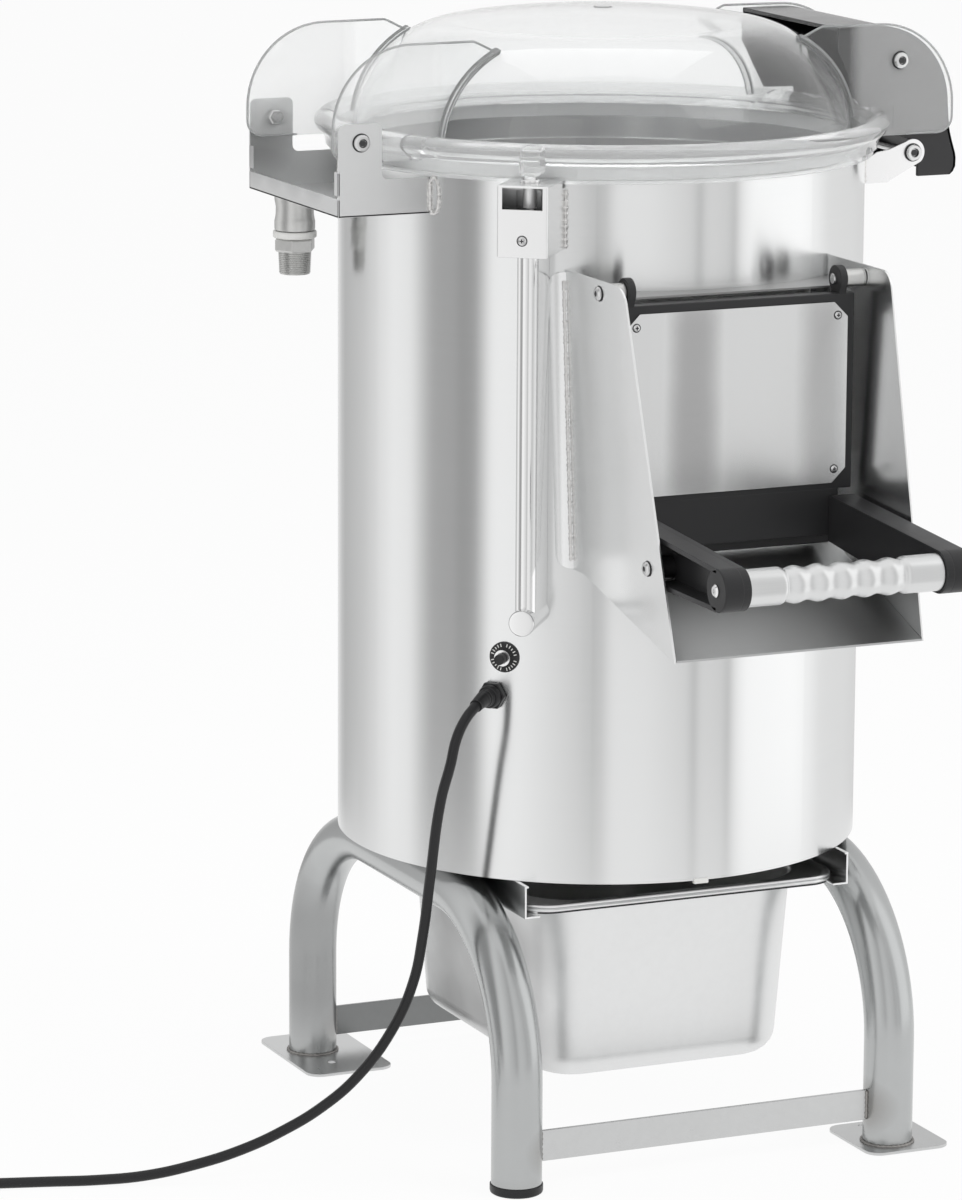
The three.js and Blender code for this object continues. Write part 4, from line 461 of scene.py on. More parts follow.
def haze_rim(material, dome=0.96, rim=0.78):
    """The rim and the fins outside it are hazier than the dome."""
    tree = material.node_tree
    offset = tree.nodes.new("ShaderNodeVectorMath")
    offset.operation = "SUBTRACT"
    link(tree, tree.nodes.new("ShaderNodeTexCoord").outputs["Object"], offset.inputs[0])
    offset.inputs[1].default_value = AXIS * MM
    split = tree.nodes.new("ShaderNodeSeparateXYZ")
    link(tree, offset.outputs[0], split.inputs[0])
    across = math_node(tree, "MULTIPLY", split.outputs[0], split.outputs[0])
    along = math_node(tree, "MULTIPLY", split.outputs[1], split.outputs[1])
    out = math_node(tree, "SQRT", math_node(tree, "ADD", across, along))
    clear = remap(tree, out, 0.236, 0.25, dome, rim)
    link(tree, clear, tree.nodes["Principled BSDF"].inputs["Transmission Weight"])


haze_rim(lid_clear)
rib_clear = surface("rib_clear", (0.88, 0.89, 0.89), 0.1, grain=(60, 60, 60), bump=0.02, tint=0.04, spread=0.03,
                    Transmission_Weight=0.82, IOR=1.3)
# Grey clear lines along the lid's fin edges and rib sides: painted shade.
edge_clear_painted_shade = surface("edge_clear_painted_shade", (0.5, 0.51, 0.51), 0.12, grain=(60, 60, 60), bump=0.02, tint=0.04, spread=0.03,
                     Transmission_Weight=0.5, IOR=1.3)
seal_silicone = surface("seal_silicone", (0.74, 0.75, 0.75), 0.4, grain=(60, 60, 60), bump=0.03, tint=0.03,
                        spread=0.05)
plunger_steel = surface("plunger_steel", (0.95, 0.95, 0.95), 0.25, 0.55, grain=(60, 60, 60), bump=0.01, tint=0.02,
                        spread=0.03)
screw_steel = surface("screw_steel", (0.6, 0.6, 0.6), 0.2, 1.0, grain=(300, 300, 300), bump=0.04, tint=0.05,
                      spread=0.05, wear=0.3)


# ---- cord ----

CORD_RADIUS = 5.0
CORD_ROUTE = [
    (-198.04, -181.47, 463), (-206.9, -189.58, 463), (-219.3, -200.9, 459.7), (-233.4, -209.9, 450.3),
    (-243.9, -214.4, 434.4), (-250, -214.8, 410.5), (-256.4, -208, 376.6), (-260.4, -191.6, 296.2),
    (-263.2, -181, 237.8), (-270, -174, 191.2), (-288, -166, 145), (-319.3, -155, 99.3),
    (-351.1, -145, 70.6), (-385.5, -134, 48.8), (-424, -121.5, 30.5), (-466, -108, 17), (-512, -95, 8),
    (-556.4, -82, 5.3), (-599.9, -69, 5.3), (-643.2, -56, 5.3), (-686.3, -43, 5.3),
    (-705.16, -37.27, 5.3), (-714.73, -34.38, 5.3),
]
COIL_CENTRE = Vector((-742.3, -90.3, 0))
COIL_OUTER = 61.5
COIL_START = math.radians(73.2)
COIL_TURNS = 3
COIL_PITCH = 11.0
COIL_TAIL = 42.0
LOOP_STEPS = 24
PLUG_TOP_Z = 19.3


def coil_points():
    heading = Vector((-math.sin(COIL_START), math.cos(COIL_START), 0))
    wound = []
    for i in range(COIL_TURNS * LOOP_STEPS + 1):
        turn = i / LOOP_STEPS
        radius = COIL_OUTER - COIL_PITCH * min(turn, COIL_TURNS - turn)
        climb = min(max(2 * (turn - COIL_TURNS / 2) + 0.5, 0), 1)
        angle = COIL_START + TURN * turn
        wound.append(COIL_CENTRE + Vector((radius * math.cos(angle), radius * math.sin(angle),
                                           CORD_ROUTE[-1][2] + COIL_PITCH * climb)))
    bend = wound[-1] + heading * (COIL_TAIL - 2 * CORD_RADIUS)
    bend.z = PLUG_TOP_Z
    return heading, wound, [wound[-1] + heading * 8, bend, bend + heading * 2 * CORD_RADIUS]


def smooth_curve(name, points, radius):
    """A curve of one open Bezier spline through points in millimetres."""
    data = bpy.data.curves.new(name, "CURVE")
    data.dimensions = "3D"
    data.resolution_u = 6
    data.bevel_depth = radius * MM
    data.bevel_resolution = 6
    data.use_fill_caps = True
    spline = data.splines.new("BEZIER")
    spline.bezier_points.add(len(points) - 1)
    for knot, point in zip(spline.bezier_points, points):
        knot.co = place(point)
        knot.handle_left_type = knot.handle_right_type = "AUTO"
    obj = bpy.data.objects.new(name, data)
    bpy.context.scene.collection.objects.link(obj)
    return obj


def make_cord():
    heading, wound, tail = coil_points()
    route = [Vector(p) for p in CORD_ROUTE]
    points = route + wound[1:] + tail[1:]
    cord = smooth_curve("mains_cord", points, CORD_RADIUS)
    cord.data.materials.append(black_rubber)

    # The plug, drawn along +X from where the cord ends
    relief = [(CORD_RADIUS + 0.4, 0)]
    for i in range(5):
        x = 1.5 + i * 3
        relief += [(6.6 + 0.3 * i, x), (6.6 + 0.3 * i, x + 1.6), (5.7 + 0.3 * i, x + 1.9), (5.7 + 0.3 * i, x + 2.7)]
    relief += [(9, 16.5)]
    body = [(13.5, 18), (16.5, 22), (18.2, 30), (19, 38), (19, 50), (18.3, 51.6), (0, 51.6)]
    shell = lathe([(0, 0)] + relief + body, 48)
    pins = [shift(lathe([(0, 50.9), (2.4, 50.9), (2.4, 69), (1.6, 70.9), (0, 70.9)], 24), y=side * 9.5)
            for side in (-1, 1)]
    end = tail[-1]
    turn = Matrix.Translation(end) @ Matrix.Rotation(math.atan2(heading.y, heading.x), 4, "Z") @ \
        Matrix.Rotation(QUARTER, 4, "Y")
    plug = piece("mains_plug", move(shell, turn), black_rubber, instead=["power_plug"])
    prongs = piece("plug_pins", move(gather(*pins), turn), bright_steel)
    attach(cord, "frame")
    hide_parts("power_cord", "cord_coil")


make_cord()


# ---- drum ----

DRUM_RADIUS = 254.0
DRUM_WALL = 1.5
DRUM_BOTTOM = 284.45
DRUM_TOP = 953.0
ON_DRUM = DRUM_RADIUS + 0.3


def make_drum():
    mouth = math.degrees(math.asin(112 / DRUM_RADIUS))
    slot = math.degrees(math.asin(40 / DRUM_RADIUS))
    angles = sorted({round(a * 2.0, 3) for a in range(180)}
                    | {round(270 - mouth, 3), round(270 + mouth, 3), round(180 - slot, 3), round(180 + slot, 3)})
    levels = [DRUM_BOTTOM, DRUM_BOTTOM + 3, 604, 844, 932, 942, DRUM_TOP - 3, DRUM_TOP]

    def open_here(angle, level):
        if abs(angle - 270) < mouth and 604 <= level < 844:
            return True
        return abs(angle - 180) < slot and 932 <= level < 942

    bm = bmesh.new()
    grid = {}
    for i, angle in enumerate(angles):
        for k, z in enumerate(levels):
            for side, radius in enumerate((DRUM_RADIUS, DRUM_RADIUS - DRUM_WALL)):
                a = math.radians(angle)
                grid[i, k, side] = bm.verts.new((radius * math.cos(a), radius * math.sin(a), z))
    count = len(angles)
    gap = {}
    for i in range(count):
        following = angles[(i + 1) % count] + (360 if i == count - 1 else 0)
        middle = (angles[i] + following) / 2
        for k in range(len(levels) - 1):
            gap[i, k] = open_here(middle, levels[k])
    for (i, k), is_open in gap.items():
        j = (i + 1) % count
        if is_open:
            continue
        for side in (0, 1):
            bm.faces.new([grid[i, k, side], grid[j, k, side], grid[j, k + 1, side], grid[i, k + 1, side]])
        if k == 0 or gap[i, k - 1]:
            bm.faces.new([grid[i, k, 0], grid[j, k, 0], grid[j, k, 1], grid[i, k, 1]])
        if k == len(levels) - 2 or gap[i, k + 1]:
            bm.faces.new([grid[i, k + 1, 0], grid[j, k + 1, 0], grid[j, k + 1, 1], grid[i, k + 1, 1]])
        if gap[(i - 1) % count, k]:
            bm.faces.new([grid[i, k, 0], grid[i, k + 1, 0], grid[i, k + 1, 1], grid[i, k, 1]])
        if gap[j, k]:
            bm.faces.new([grid[j, k, 0], grid[j, k + 1, 0], grid[j, k + 1, 1], grid[j, k, 1]])
    bmesh.ops.recalc_face_normals(bm, faces=bm.faces)
    piece("drum", bm, drum_steel, instead=["drum_shell"])


# ---- stand ----

LEG_X = 197.5
LEG_Y = 254.0
LEG_RADIUS = 24.15
LEG_BEND = 154.0
LEG_AXIS_TOP = 284.15 - LEG_RADIUS


def ring_bead(centre, radius, thick, normal="z", turns=(0, 360), swell=0.22, pitch=5.0, seed=0.0):
    """A weld bead round a circle, drawn as a tube that swells a little at every ripple."""
    length = radius * math.radians(turns[1] - turns[0])
    steps = max(int(length / 1.6), 12)
    points, radii = [], []
    for i in range(steps + 1):
        angle = math.radians(turns[0] + (turns[1] - turns[0]) * i / steps)
        points.append((radius * math.cos(angle), radius * math.sin(angle), 0))
        s = length * i / steps
        radii.append(thick * (1 + swell * math.sin(TURN * s / pitch + seed) + 0.1 * math.sin(TURN * s / 13.7)))
    if abs(turns[1] - turns[0]) >= 360:
        points, radii = points[:-1], radii[:-1]
        points.append(points[0])
        radii.append(radii[0])
    bm = tube(points, radii, 10)
    turned = {"z": Matrix(), "x": Matrix.Rotation(QUARTER, 4, "Y"), "y": Matrix.Rotation(QUARTER, 4, "X")}
    return move(bm, Matrix.Translation(centre) @ turned[normal])


def line_bead(points, thick, swell=0.25, pitch=5.0):
    """A weld bead along a polyline."""
    fine, radii = [], []
    travelled = 0.0
    for a, b in zip(points, points[1:]):
        a, b = Vector(a), Vector(b)
        steps = max(int((b - a).length / 1.6), 1)
        for i in range(steps):
            fine.append(a.lerp(b, i / steps))
            s = travelled + (b - a).length * i / steps
            radii.append(thick * (1 + swell * math.sin(TURN * s / pitch) + 0.12 * math.sin(TURN * s / 17)))
        travelled += (b - a).length
    fine.append(Vector(points[-1]))
    radii.append(thick)
    radii[0] = thick * 0.6
    return tube(fine, radii, 10)


def make_stand():
    feet = {-1: (9.3, 3.3), 1: (3.3, 9.3)}
    for side, name in ((-1, "left"), (1, "right")):
        bend_y, bend_z = LEG_Y - LEG_BEND, LEG_AXIS_TOP - LEG_BEND
        path = [(-LEG_Y, feet[side][0]), (-LEG_Y, 60)]
        path += arc((-bend_y, bend_z), LEG_BEND, 180, 90, 20) + arc((bend_y, bend_z), LEG_BEND, 90, 0, 20)
        path += [(LEG_Y, 60), (LEG_Y, feet[side][1])]
        points = [(side * LEG_X, y, z) for y, z in path]
        marks = [((side * (LEG_X - 18), -LEG_Y, 42), 34, HEAT, 0.5), ((side * (LEG_X - 18), LEG_Y, 31), 34, HEAT, 0.5),
                 ((side * LEG_X, -LEG_Y, 4), 30, HEAT, 0.4), ((side * LEG_X, LEG_Y, 4), 30, HEAT, 0.4)]
        # The rear post of the left leg is painted darker in three soft patches: painted shade.
        marks += [((-LEG_X, LEG_Y, z), 75, (0.2, 0.2, 0.2), 0.5) for z in (70, 150, 230)]
        look = surface(f"leg_steel_{name}", (0.48, 0.49, 0.49), 0.25, 1.0, grain=(25, 3, 25), bump=0.005,
                       cloud=5.0, tint=0.04, spread=0.02, marks=marks)
        piece(f"leg_{name}", tube(points, LEG_RADIUS, 64), look,
              instead=[f"leg_arch_{name}"], sharp=50)
    reach = LEG_X - LEG_RADIUS - 0.3
    for end, y, z in (("front", -LEG_Y, 27), ("rear", LEG_Y, 16)):
        bar = box((-reach, reach), (y - 2, y + 2), (z, z + 30), 0.5)
        # The rear bar takes the darker steel: painted shade.
        piece(f"cross_bar_{end}", bar, tube_steel if end == "front" else bar_steel_painted_shade,
              instead=[f"brace_{end}"])
        beads = [line_bead([(side * reach, y + face * 2.2, z + 1), (side * reach, y + face * 2.2, z + 29)], 1.5)
                 for side in (-1, 1) for face in (-1, 1)]
        piece(f"cross_bar_welds_{end}", gather(*beads), scorched, weigh=False)

    def plate(name, node, width, length, leg, inwards):
        x, y = leg[0] + 8.5, leg[1] + inwards * 14
        corners = []
        for sx, sy, a in ((1, -1, -90), (1, 1, 0), (-1, 1, 90), (-1, -1, 180)):
            corners += arc((x + sx * (width / 2 - 15), y + sy * (length / 2 - 15)), 15, a, a + 90, 8)
        body = prism("z", corners, 0, 3, 0.5)
        hole = shift(lathe([(0, -2), (4.5, -2), (4.5, 5), (0, 5)], 32), leg[0], leg[1] + inwards * 51)
        piece(name, boolean(body, hole), tube_steel, instead=[node])
        piece(f"{name}_weld", ring_bead((leg[0], leg[1], 3.6), LEG_RADIUS + 0.8, 1.5), scorched,
              weigh=False)

    plate("floor_plate_front", "foot_plate_front", 88, 100, (LEG_X, -LEG_Y), 1)
    plate("floor_plate_rear", "foot_plate_rear", 92, 148, (-LEG_X, LEG_Y), -1)
    for name, node, x, y in (("rubber_foot_front", "foot_cap_front", -LEG_X, -LEG_Y),
                             ("rubber_foot_rear", "foot_cap_rear", LEG_X, LEG_Y)):
        profile = [(0, 0), (23.6, 0), (24.9, 1.0), (25.35, 2.6), (25.35, 8.2), (24.6, 9.0), (21, 9.0), (21, 20), (0, 20)]
        piece(name, shift(lathe(profile, 64), x, y), black_rubber, instead=[node])


# ---- catch pan ----

PAN_HALF_WIDTH = 166.0
PAN_FRONT = -208.7
PAN_REAR = 187.0
PAN_RIM_BOTTOM = 254.75
PAN_RIM_TOP = 258.45


def pan_loop(inset, corner, z, steps=10):
    x, y0, y1 = PAN_HALF_WIDTH - inset, PAN_FRONT + inset, PAN_REAR - inset
    outline = []
    for sx, cy, a in ((1, y0 + corner, -90), (1, y1 - corner, 0), (-1, y1 - corner, 90), (-1, y0 + corner, 180)):
        outline += arc((sx * (x - corner), cy), corner, a, a + 90, steps)
    return [(px, py, z) for px, py in outline]


def skin(loops, close_start=True, close_end=True):
    verts = [v for loop in loops for v in loop]
    n = len(loops[0])
    faces = []
    for k in range(len(loops) - 1):
        for i in range(n):
            j = (i + 1) % n
            faces.append((k * n + i, k * n + j, (k + 1) * n + j, (k + 1) * n + i))
    if close_start:
        faces.append(tuple(range(n - 1, -1, -1)))
    if close_end:
        faces.append(tuple(range((len(loops) - 1) * n, len(loops) * n)))
    return mesh_from(verts, faces)


def make_pan():
    lip, taper, wall, round_by = 21.0, 13.0, 1.2, 24.0
    foot = lip + taper
    foot_corner = 62 - taper
    outer, inner = [], []
    for i in range(7):
        a = QUARTER * i / 6
        slope = (1 - math.sin(a)) * round_by
        rise = (1 - math.cos(a)) * round_by
        outer.append(pan_loop(foot + slope, foot_corner - slope, 75 + rise))
        inner.append(pan_loop(foot + slope + wall * math.sin(a), foot_corner - slope, 75 + wall + rise))
    loops = outer + [
        pan_loop(lip + 1.2, 60.8, PAN_RIM_BOTTOM - 5),
        pan_loop(lip, 61, PAN_RIM_BOTTOM - 1.2),
        pan_loop(lip - 1.2, 58, PAN_RIM_BOTTOM),
        pan_loop(2.2, 29, PAN_RIM_BOTTOM),
        pan_loop(0.6, 30.4, PAN_RIM_BOTTOM + 0.5),
        pan_loop(0, 31, PAN_RIM_BOTTOM + 1.8),
        pan_loop(0.6, 30.4, PAN_RIM_BOTTOM + 3.1),
        pan_loop(2.2, 29, PAN_RIM_TOP),
        pan_loop(0.6, 30.4, PAN_RIM_TOP + 0.6),
        pan_loop(0, 31, PAN_RIM_TOP + 1.9),
        pan_loop(0.6, 30.4, PAN_RIM_TOP + 3.2),
        pan_loop(2.4, 29.2, PAN_RIM_TOP + 3.8),
        pan_loop(4.6, 31, PAN_RIM_TOP + 3.2),
        pan_loop(6.2, 33, PAN_RIM_TOP),
        pan_loop(lip - 1, 58, PAN_RIM_TOP),
        pan_loop(lip + 1, 60, PAN_RIM_TOP - 1.2),
        pan_loop(lip + 2.3, 59.7, PAN_RIM_TOP - 6),
    ] + inner[::-1]
    piece("waste_pan", skin(loops), pan_steel, "pan", instead=["catch_pan"], sharp=60)
    # A thin black tube under the front lip: painted shadow under the rolled edge.
    shadow_path = [(x, y, PAN_RIM_BOTTOM - 0.5) for x, y in
            arc((-135, PAN_FRONT + 31), 29.4, 232, 270, 6) + arc((135, PAN_FRONT + 31), 29.4, 270, 308, 6)]
    piece("pan_lip_painted_shadow", tube(shadow_path, 0.9, 10), black_plastic, "pan")
    for side, name in ((-1, "left"), (1, "right")):
        section = [(155.5, 252.45), (171.5, 252.45), (171.5, 284.15), (167.5, 284.15), (167.5, 282.15),
                   (169.5, 282.15), (169.5, 254.45), (155.5, 254.45)]
        rail = prism("y", [(side * x, z) for x, z in section], -212, 196, 0.45)
        piece(f"rail_{name}", rail, side_steel, instead=[f"pan_rail_{name}"])


# ---- lid ----

CROWN_RADIUS = 970.0
KNUCKLE_RADIUS = 105.0
DOME_RADIUS = 240.0
LID_APEX = 1087.6
LID_WALL = 4.0
KNUCKLE_R = DOME_RADIUS - KNUCKLE_RADIUS
CROWN_Z = LID_APEX - CROWN_RADIUS
KNUCKLE_Z = CROWN_Z + math.sqrt((CROWN_RADIUS - KNUCKLE_RADIUS) ** 2 - KNUCKLE_R ** 2)
KNUCKLE_START = math.degrees(math.asin(KNUCKLE_R / (CROWN_RADIUS - KNUCKLE_RADIUS)))
FIN_Y = 106.6
FIN_THICK = 4.0
FIN_REACH = 325.0
FIN_CURVE = 80.0
FIN_TOP = 1072.5
FIN_BOTTOM = 964.0
FIN_MIDDLE = Vector((250.0, 1015.0))
HINGE = (-297.5, 983.0)
LATCH = (266.0, 1036.5)


def dome_profile(inside, crown=8, knuckle=20):
    points = arc((0, CROWN_Z), CROWN_RADIUS - inside, 90, 90 - KNUCKLE_START, crown)[:-1]
    points += arc((KNUCKLE_R, KNUCKLE_Z), KNUCKLE_RADIUS - inside, 90 - KNUCKLE_START, 0, knuckle)
    points[0] = (0.0, points[0][1])
    return points


def dome_height(r):
    """Height of the dome's outer surface at a radius."""
    if r < CROWN_RADIUS * math.sin(math.radians(KNUCKLE_START)):
        return CROWN_Z + math.sqrt(CROWN_RADIUS ** 2 - r ** 2)
    return KNUCKLE_Z + math.sqrt(max(KNUCKLE_RADIUS ** 2 - (r - KNUCKLE_R) ** 2, 0))


def fin_outline():
    bottom_arc = arc((FIN_REACH - 16, FIN_BOTTOM + 16), 16, -90, 0, 8)
    top_arc = arc((FIN_REACH - FIN_CURVE, FIN_TOP - FIN_CURVE), FIN_CURVE, 0, 90, 24)
    return [(155, FIN_BOTTOM)] + bottom_arc + top_arc + [(182, FIN_TOP), (178, FIN_TOP - 1.5), (155, 1060)]


def make_lid():
    rim = [(244, 976.6), (247.5, 973.9), (251, 974.6), (254, 979.5), (256.5, 983.3), (259.5, 985.6), (264, 987.4),
           (268, 987.9), (271.5, 987.1), (274.3, 985), (276.2, 982.4), (277, 979.6), (276.6, 976.6), (275, 973.6),
           (272.6, 971), (268.6, 967), (266.6, 962.5), (266, 957.4), (265.2, 956.9), (262.4, 956.7), (262, 956),
           (262, 950.9), (261.6, 950.5), (258.4, 950.5), (258, 950.9), (258, 957.5), (262, 966), (267, 973),
           (266.5, 976), (258.3, 976), (255.3, 967), (247.3, 967), (240, 970)]
    profile = dome_profile(0) + rim + dome_profile(LID_WALL)[::-1]
    shell = lathe(profile, 200)
    inside = lathe([(0, 900)] + [(dome_profile(2)[-1][0], 900)] + dome_profile(2)[::-1], 128)
    under = lathe([(0, 900), (258, 900), (258, 966.5), (0, 966.5)], 128)
    solid = shell
    ribs, edges = [], []
    for sx in (-1, 1):
        for sy in (-1, 1):
            outline = [(sx * x, z) for x, z in fin_outline()]
            fin = prism("y", outline, sy * FIN_Y - FIN_THICK / 2, sy * FIN_Y + FIN_THICK / 2, 0.7)
            fin = boolean(boolean(fin, inside), under)
            rib = []
            x = 156.5
            while x < 213.6:
                r = math.hypot(x, FIN_Y)
                rib.append((sx * x, sy * FIN_Y, dome_height(r) + 0.5))
                x += 1.5
            rib.append((sx * 214.6, sy * FIN_Y, 984.0))
            ribs.append(tube(rib, [3.0] + [4.4] * (len(rib) - 1), 16))
            # Grey lines beside each rib and just inside each fin's edge: painted shade where the clear edges look dark.
            for offset in (-4.2, 4.2):
                edges.append(tube([(x, y + offset, z + 0.8) for x, y, z in rib], 1.0, 8))
            rim_line = []
            for p in [(274, FIN_BOTTOM)] + fin_outline()[1:-1] + [(160, 1062)]:
                p = Vector(p) + (FIN_MIDDLE - Vector(p)).normalized() * 0.85
                rim_line.append((sx * p.x, sy * FIN_Y, p.y))
            edges.append(tube(rim_line, 1.1, 8))
            solid = boolean(solid, fin, "UNION")
    lug = spoke(box((-10, 10), (-296.5, -269), (960.8, 986), 3, 4), -128)
    solid = boolean(solid, lug, "UNION")
    piece("clear_lid", solid, lid_clear, "lid", instead=["lid"], sharp=28)
    piece("lid_ribs", gather(*ribs), rib_clear, "lid", weigh=False)
    piece("lid_painted_edge_lines", gather(*edges), edge_clear_painted_shade, "lid", weigh=False)
    mark = lathe([(0, LID_APEX - 0.5), (8.6, LID_APEX - 0.5), (9, LID_APEX), (8.6, LID_APEX + 0.6),
                  (0, LID_APEX + 0.6)], 40)
    piece("lid_mark", mark, rib_clear, "lid")


# ---- lid hinge and water inlet ----

def socket_painted_shade(radius, height, socket=0.42, sides=6):
    """Black shapes of painted shade: a ring for the shadow in the gap under a screw's head and a plug for the shade in
    its socket, with the head standing up from z = 0.
    """
    ring = lathe([(radius - 1, 0), (radius + 0.9, 0), (radius + 0.9, 0.25), (radius - 1, 0.25)], 40)
    plug = lathe([(0, height * 0.45), (radius * socket, height * 0.45), (radius * socket, height * 0.85),
                  (0, height * 0.85)], sides)
    return gather(ring, plug)


def hex_bolt(head, nut, x, z, side):
    """A socket bolt through the ear and the fin with a nut, along Y. head and nut are distances from the middle."""
    parts = []
    cap = lathe([(0, 0), (7.2, 0), (7.9, 0.5), (8, 1.2), (7.7, 3.2), (6.4, 4.4), (4.2, 4.5), (3.4, 3.0), (0, 3.0)], 40)
    cap = move(cap, Matrix.Translation((x, side * head, z)) @ Matrix.Rotation(side * -QUARTER, 4, "X"))
    parts.append(cap)
    nut_shape = lathe([(0, -6.5), (6.6, -6.5), (7.9, -5.6), (8, -0.4), (7, 0), (0, 0)], 6)
    soften(nut_shape, 0.3, 2, 20)
    parts.append(move(nut_shape, Matrix.Translation((x, side * nut, z)) @ Matrix.Rotation(side * -QUARTER, 4, "X")))
    shank = [(4, nut - 8.5), (4, head + 0.2)]
    parts.append(move(lathe([(0, shank[0][1])] + shank + [(0, shank[1][1])], 24),
                      Matrix.Translation((x, 0, z)) @ Matrix.Rotation(side * -QUARTER, 4, "X")))
    return gather(*parts)


def make_hinge():
    left, inner = -320.6, -318.6
    parts = [
        boolean(box((left, -200), (-111.4, 111.4), (914, 916), 0.4), lathe([(0, 0), (ON_DRUM, 0), (ON_DRUM, 1000), (0, 1000)], 180)),
        box((left, inner), (-111.4, 111.4), (914, 931), 0.5),
    ]
    floor_hole = shift(lathe([(0, 900), (10.5, 900), (10.5, 930), (0, 930)], 32), -288, 76)
    parts[0] = boolean(parts[0], floor_hole)
    outline = [(left, 914), (-200, 914), (-200, 948), (-270.5, 948)]
    outline += arc((-270.5, 954), 6, 270, 180, 4)[1:]
    outline += arc((-282.5, 994.5), 6, 0, 90, 6) + arc((left + 6, 994.5), 6, 90, 180, 6)
    drum_solid = lathe([(0, 0), (ON_DRUM, 0), (ON_DRUM, 1100), (0, 1100)], 180)
    for side in (-1, 1):
        ear = prism("y", outline, *sorted((side * 109.4, side * 111.4)), 0.35)
        parts.append(boolean(ear, drum_solid))
        tab = box((left, inner), sorted((side * 101.4, side * 111.4)), (934, 956), 0.5)
        parts.append(tab)
        bead = [(-math.sqrt(ON_DRUM ** 2 - 112 ** 2), side * 112.4, z) for z in range(916, 948, 2)]
        piece(f"hinge_weld_{'front' if side < 0 else 'rear'}", line_bead(bead, 2.3), weld_metal,
              weigh=False)
    oval = [(6.5 * math.cos(TURN * i / 24), -ON_DRUM - 0.4, 931 + 17 * math.sin(TURN * i / 24)) for i in range(25)]
    for side in (-1, 1):
        ring = spoke(line_bead(oval, 1.7, 0.35, 6), 180 - side * 27.2)
        piece(f"hinge_weld_ring_{'front' if side < 0 else 'rear'}", ring, weld_metal, weigh=False)
    piece("hinge_trough", gather(*parts), bracket_steel, instead=["hinge_bracket"])
    for name, node, side in (("hinge_screw_front", "hinge_bolt_front", -1), ("hinge_screw_rear", "hinge_bolt_rear", 1)):
        piece(name, hex_bolt(111.7, 104.3, *HINGE, side), screw_steel, instead=[node])
        # Black ring and plug at the screw: painted shade under the head and in the socket.
        dark = move(socket_painted_shade(8, 4.5), Matrix.Rotation(side * -QUARTER, 4, "X"))
        piece(f"{name}_socket", shift(dark, HINGE[0], side * 111.5, HINGE[1]), black_plastic)


def make_inlet():
    x, y = -288, 76
    socket = [(10.5, 876.7), (17.8, 876.7), (19.2, 877.4), (19.6, 879), (19.6, 886), (19.1, 888), (18.4, 892), (18.2, 899),
              (18.8, 903), (19.4, 906), (19.6, 912.5), (19.2, 913.7), (10.5, 913.7)]
    piece("inlet_elbow", shift(lathe(socket, 64), x, y), dull_steel_light, instead=["inlet_socket"])
    washer = [(10.5, 869.9), (20.2, 869.9), (21, 870.8), (21, 875.5), (20.2, 876.4), (10.5, 876.4)]
    piece("inlet_gasket", shift(lathe(washer, 64), x, y), white_plastic, instead=["inlet_washer"])
    nut = soften(lathe([(10.5, 856.6), (18.9, 856.6), (20.5, 858.4), (20.5, 867.8), (18.9, 869.6), (10.5, 869.6)], 6), 0.5, 2, 20)
    thread = [(10.5, 857)]
    thread.append((15.9, 857))
    z = 856.4
    while z > 836.5:
        radius = 16 - (856.4 - z) * 0.045
        thread += [(radius, z), (radius, z - 0.5), (radius - 0.9, z - 1.1), (radius - 0.9, z - 1.3)]
        z -= 1.8
    thread += [(14.4, 834.9), (13.8, 834.6), (10.5, 834.6)]
    piece("inlet_fitting", shift(gather(nut, lathe(thread, 64)), x, y), dull_steel_light,
          instead=["inlet_nipple"])


# ---- latch ----

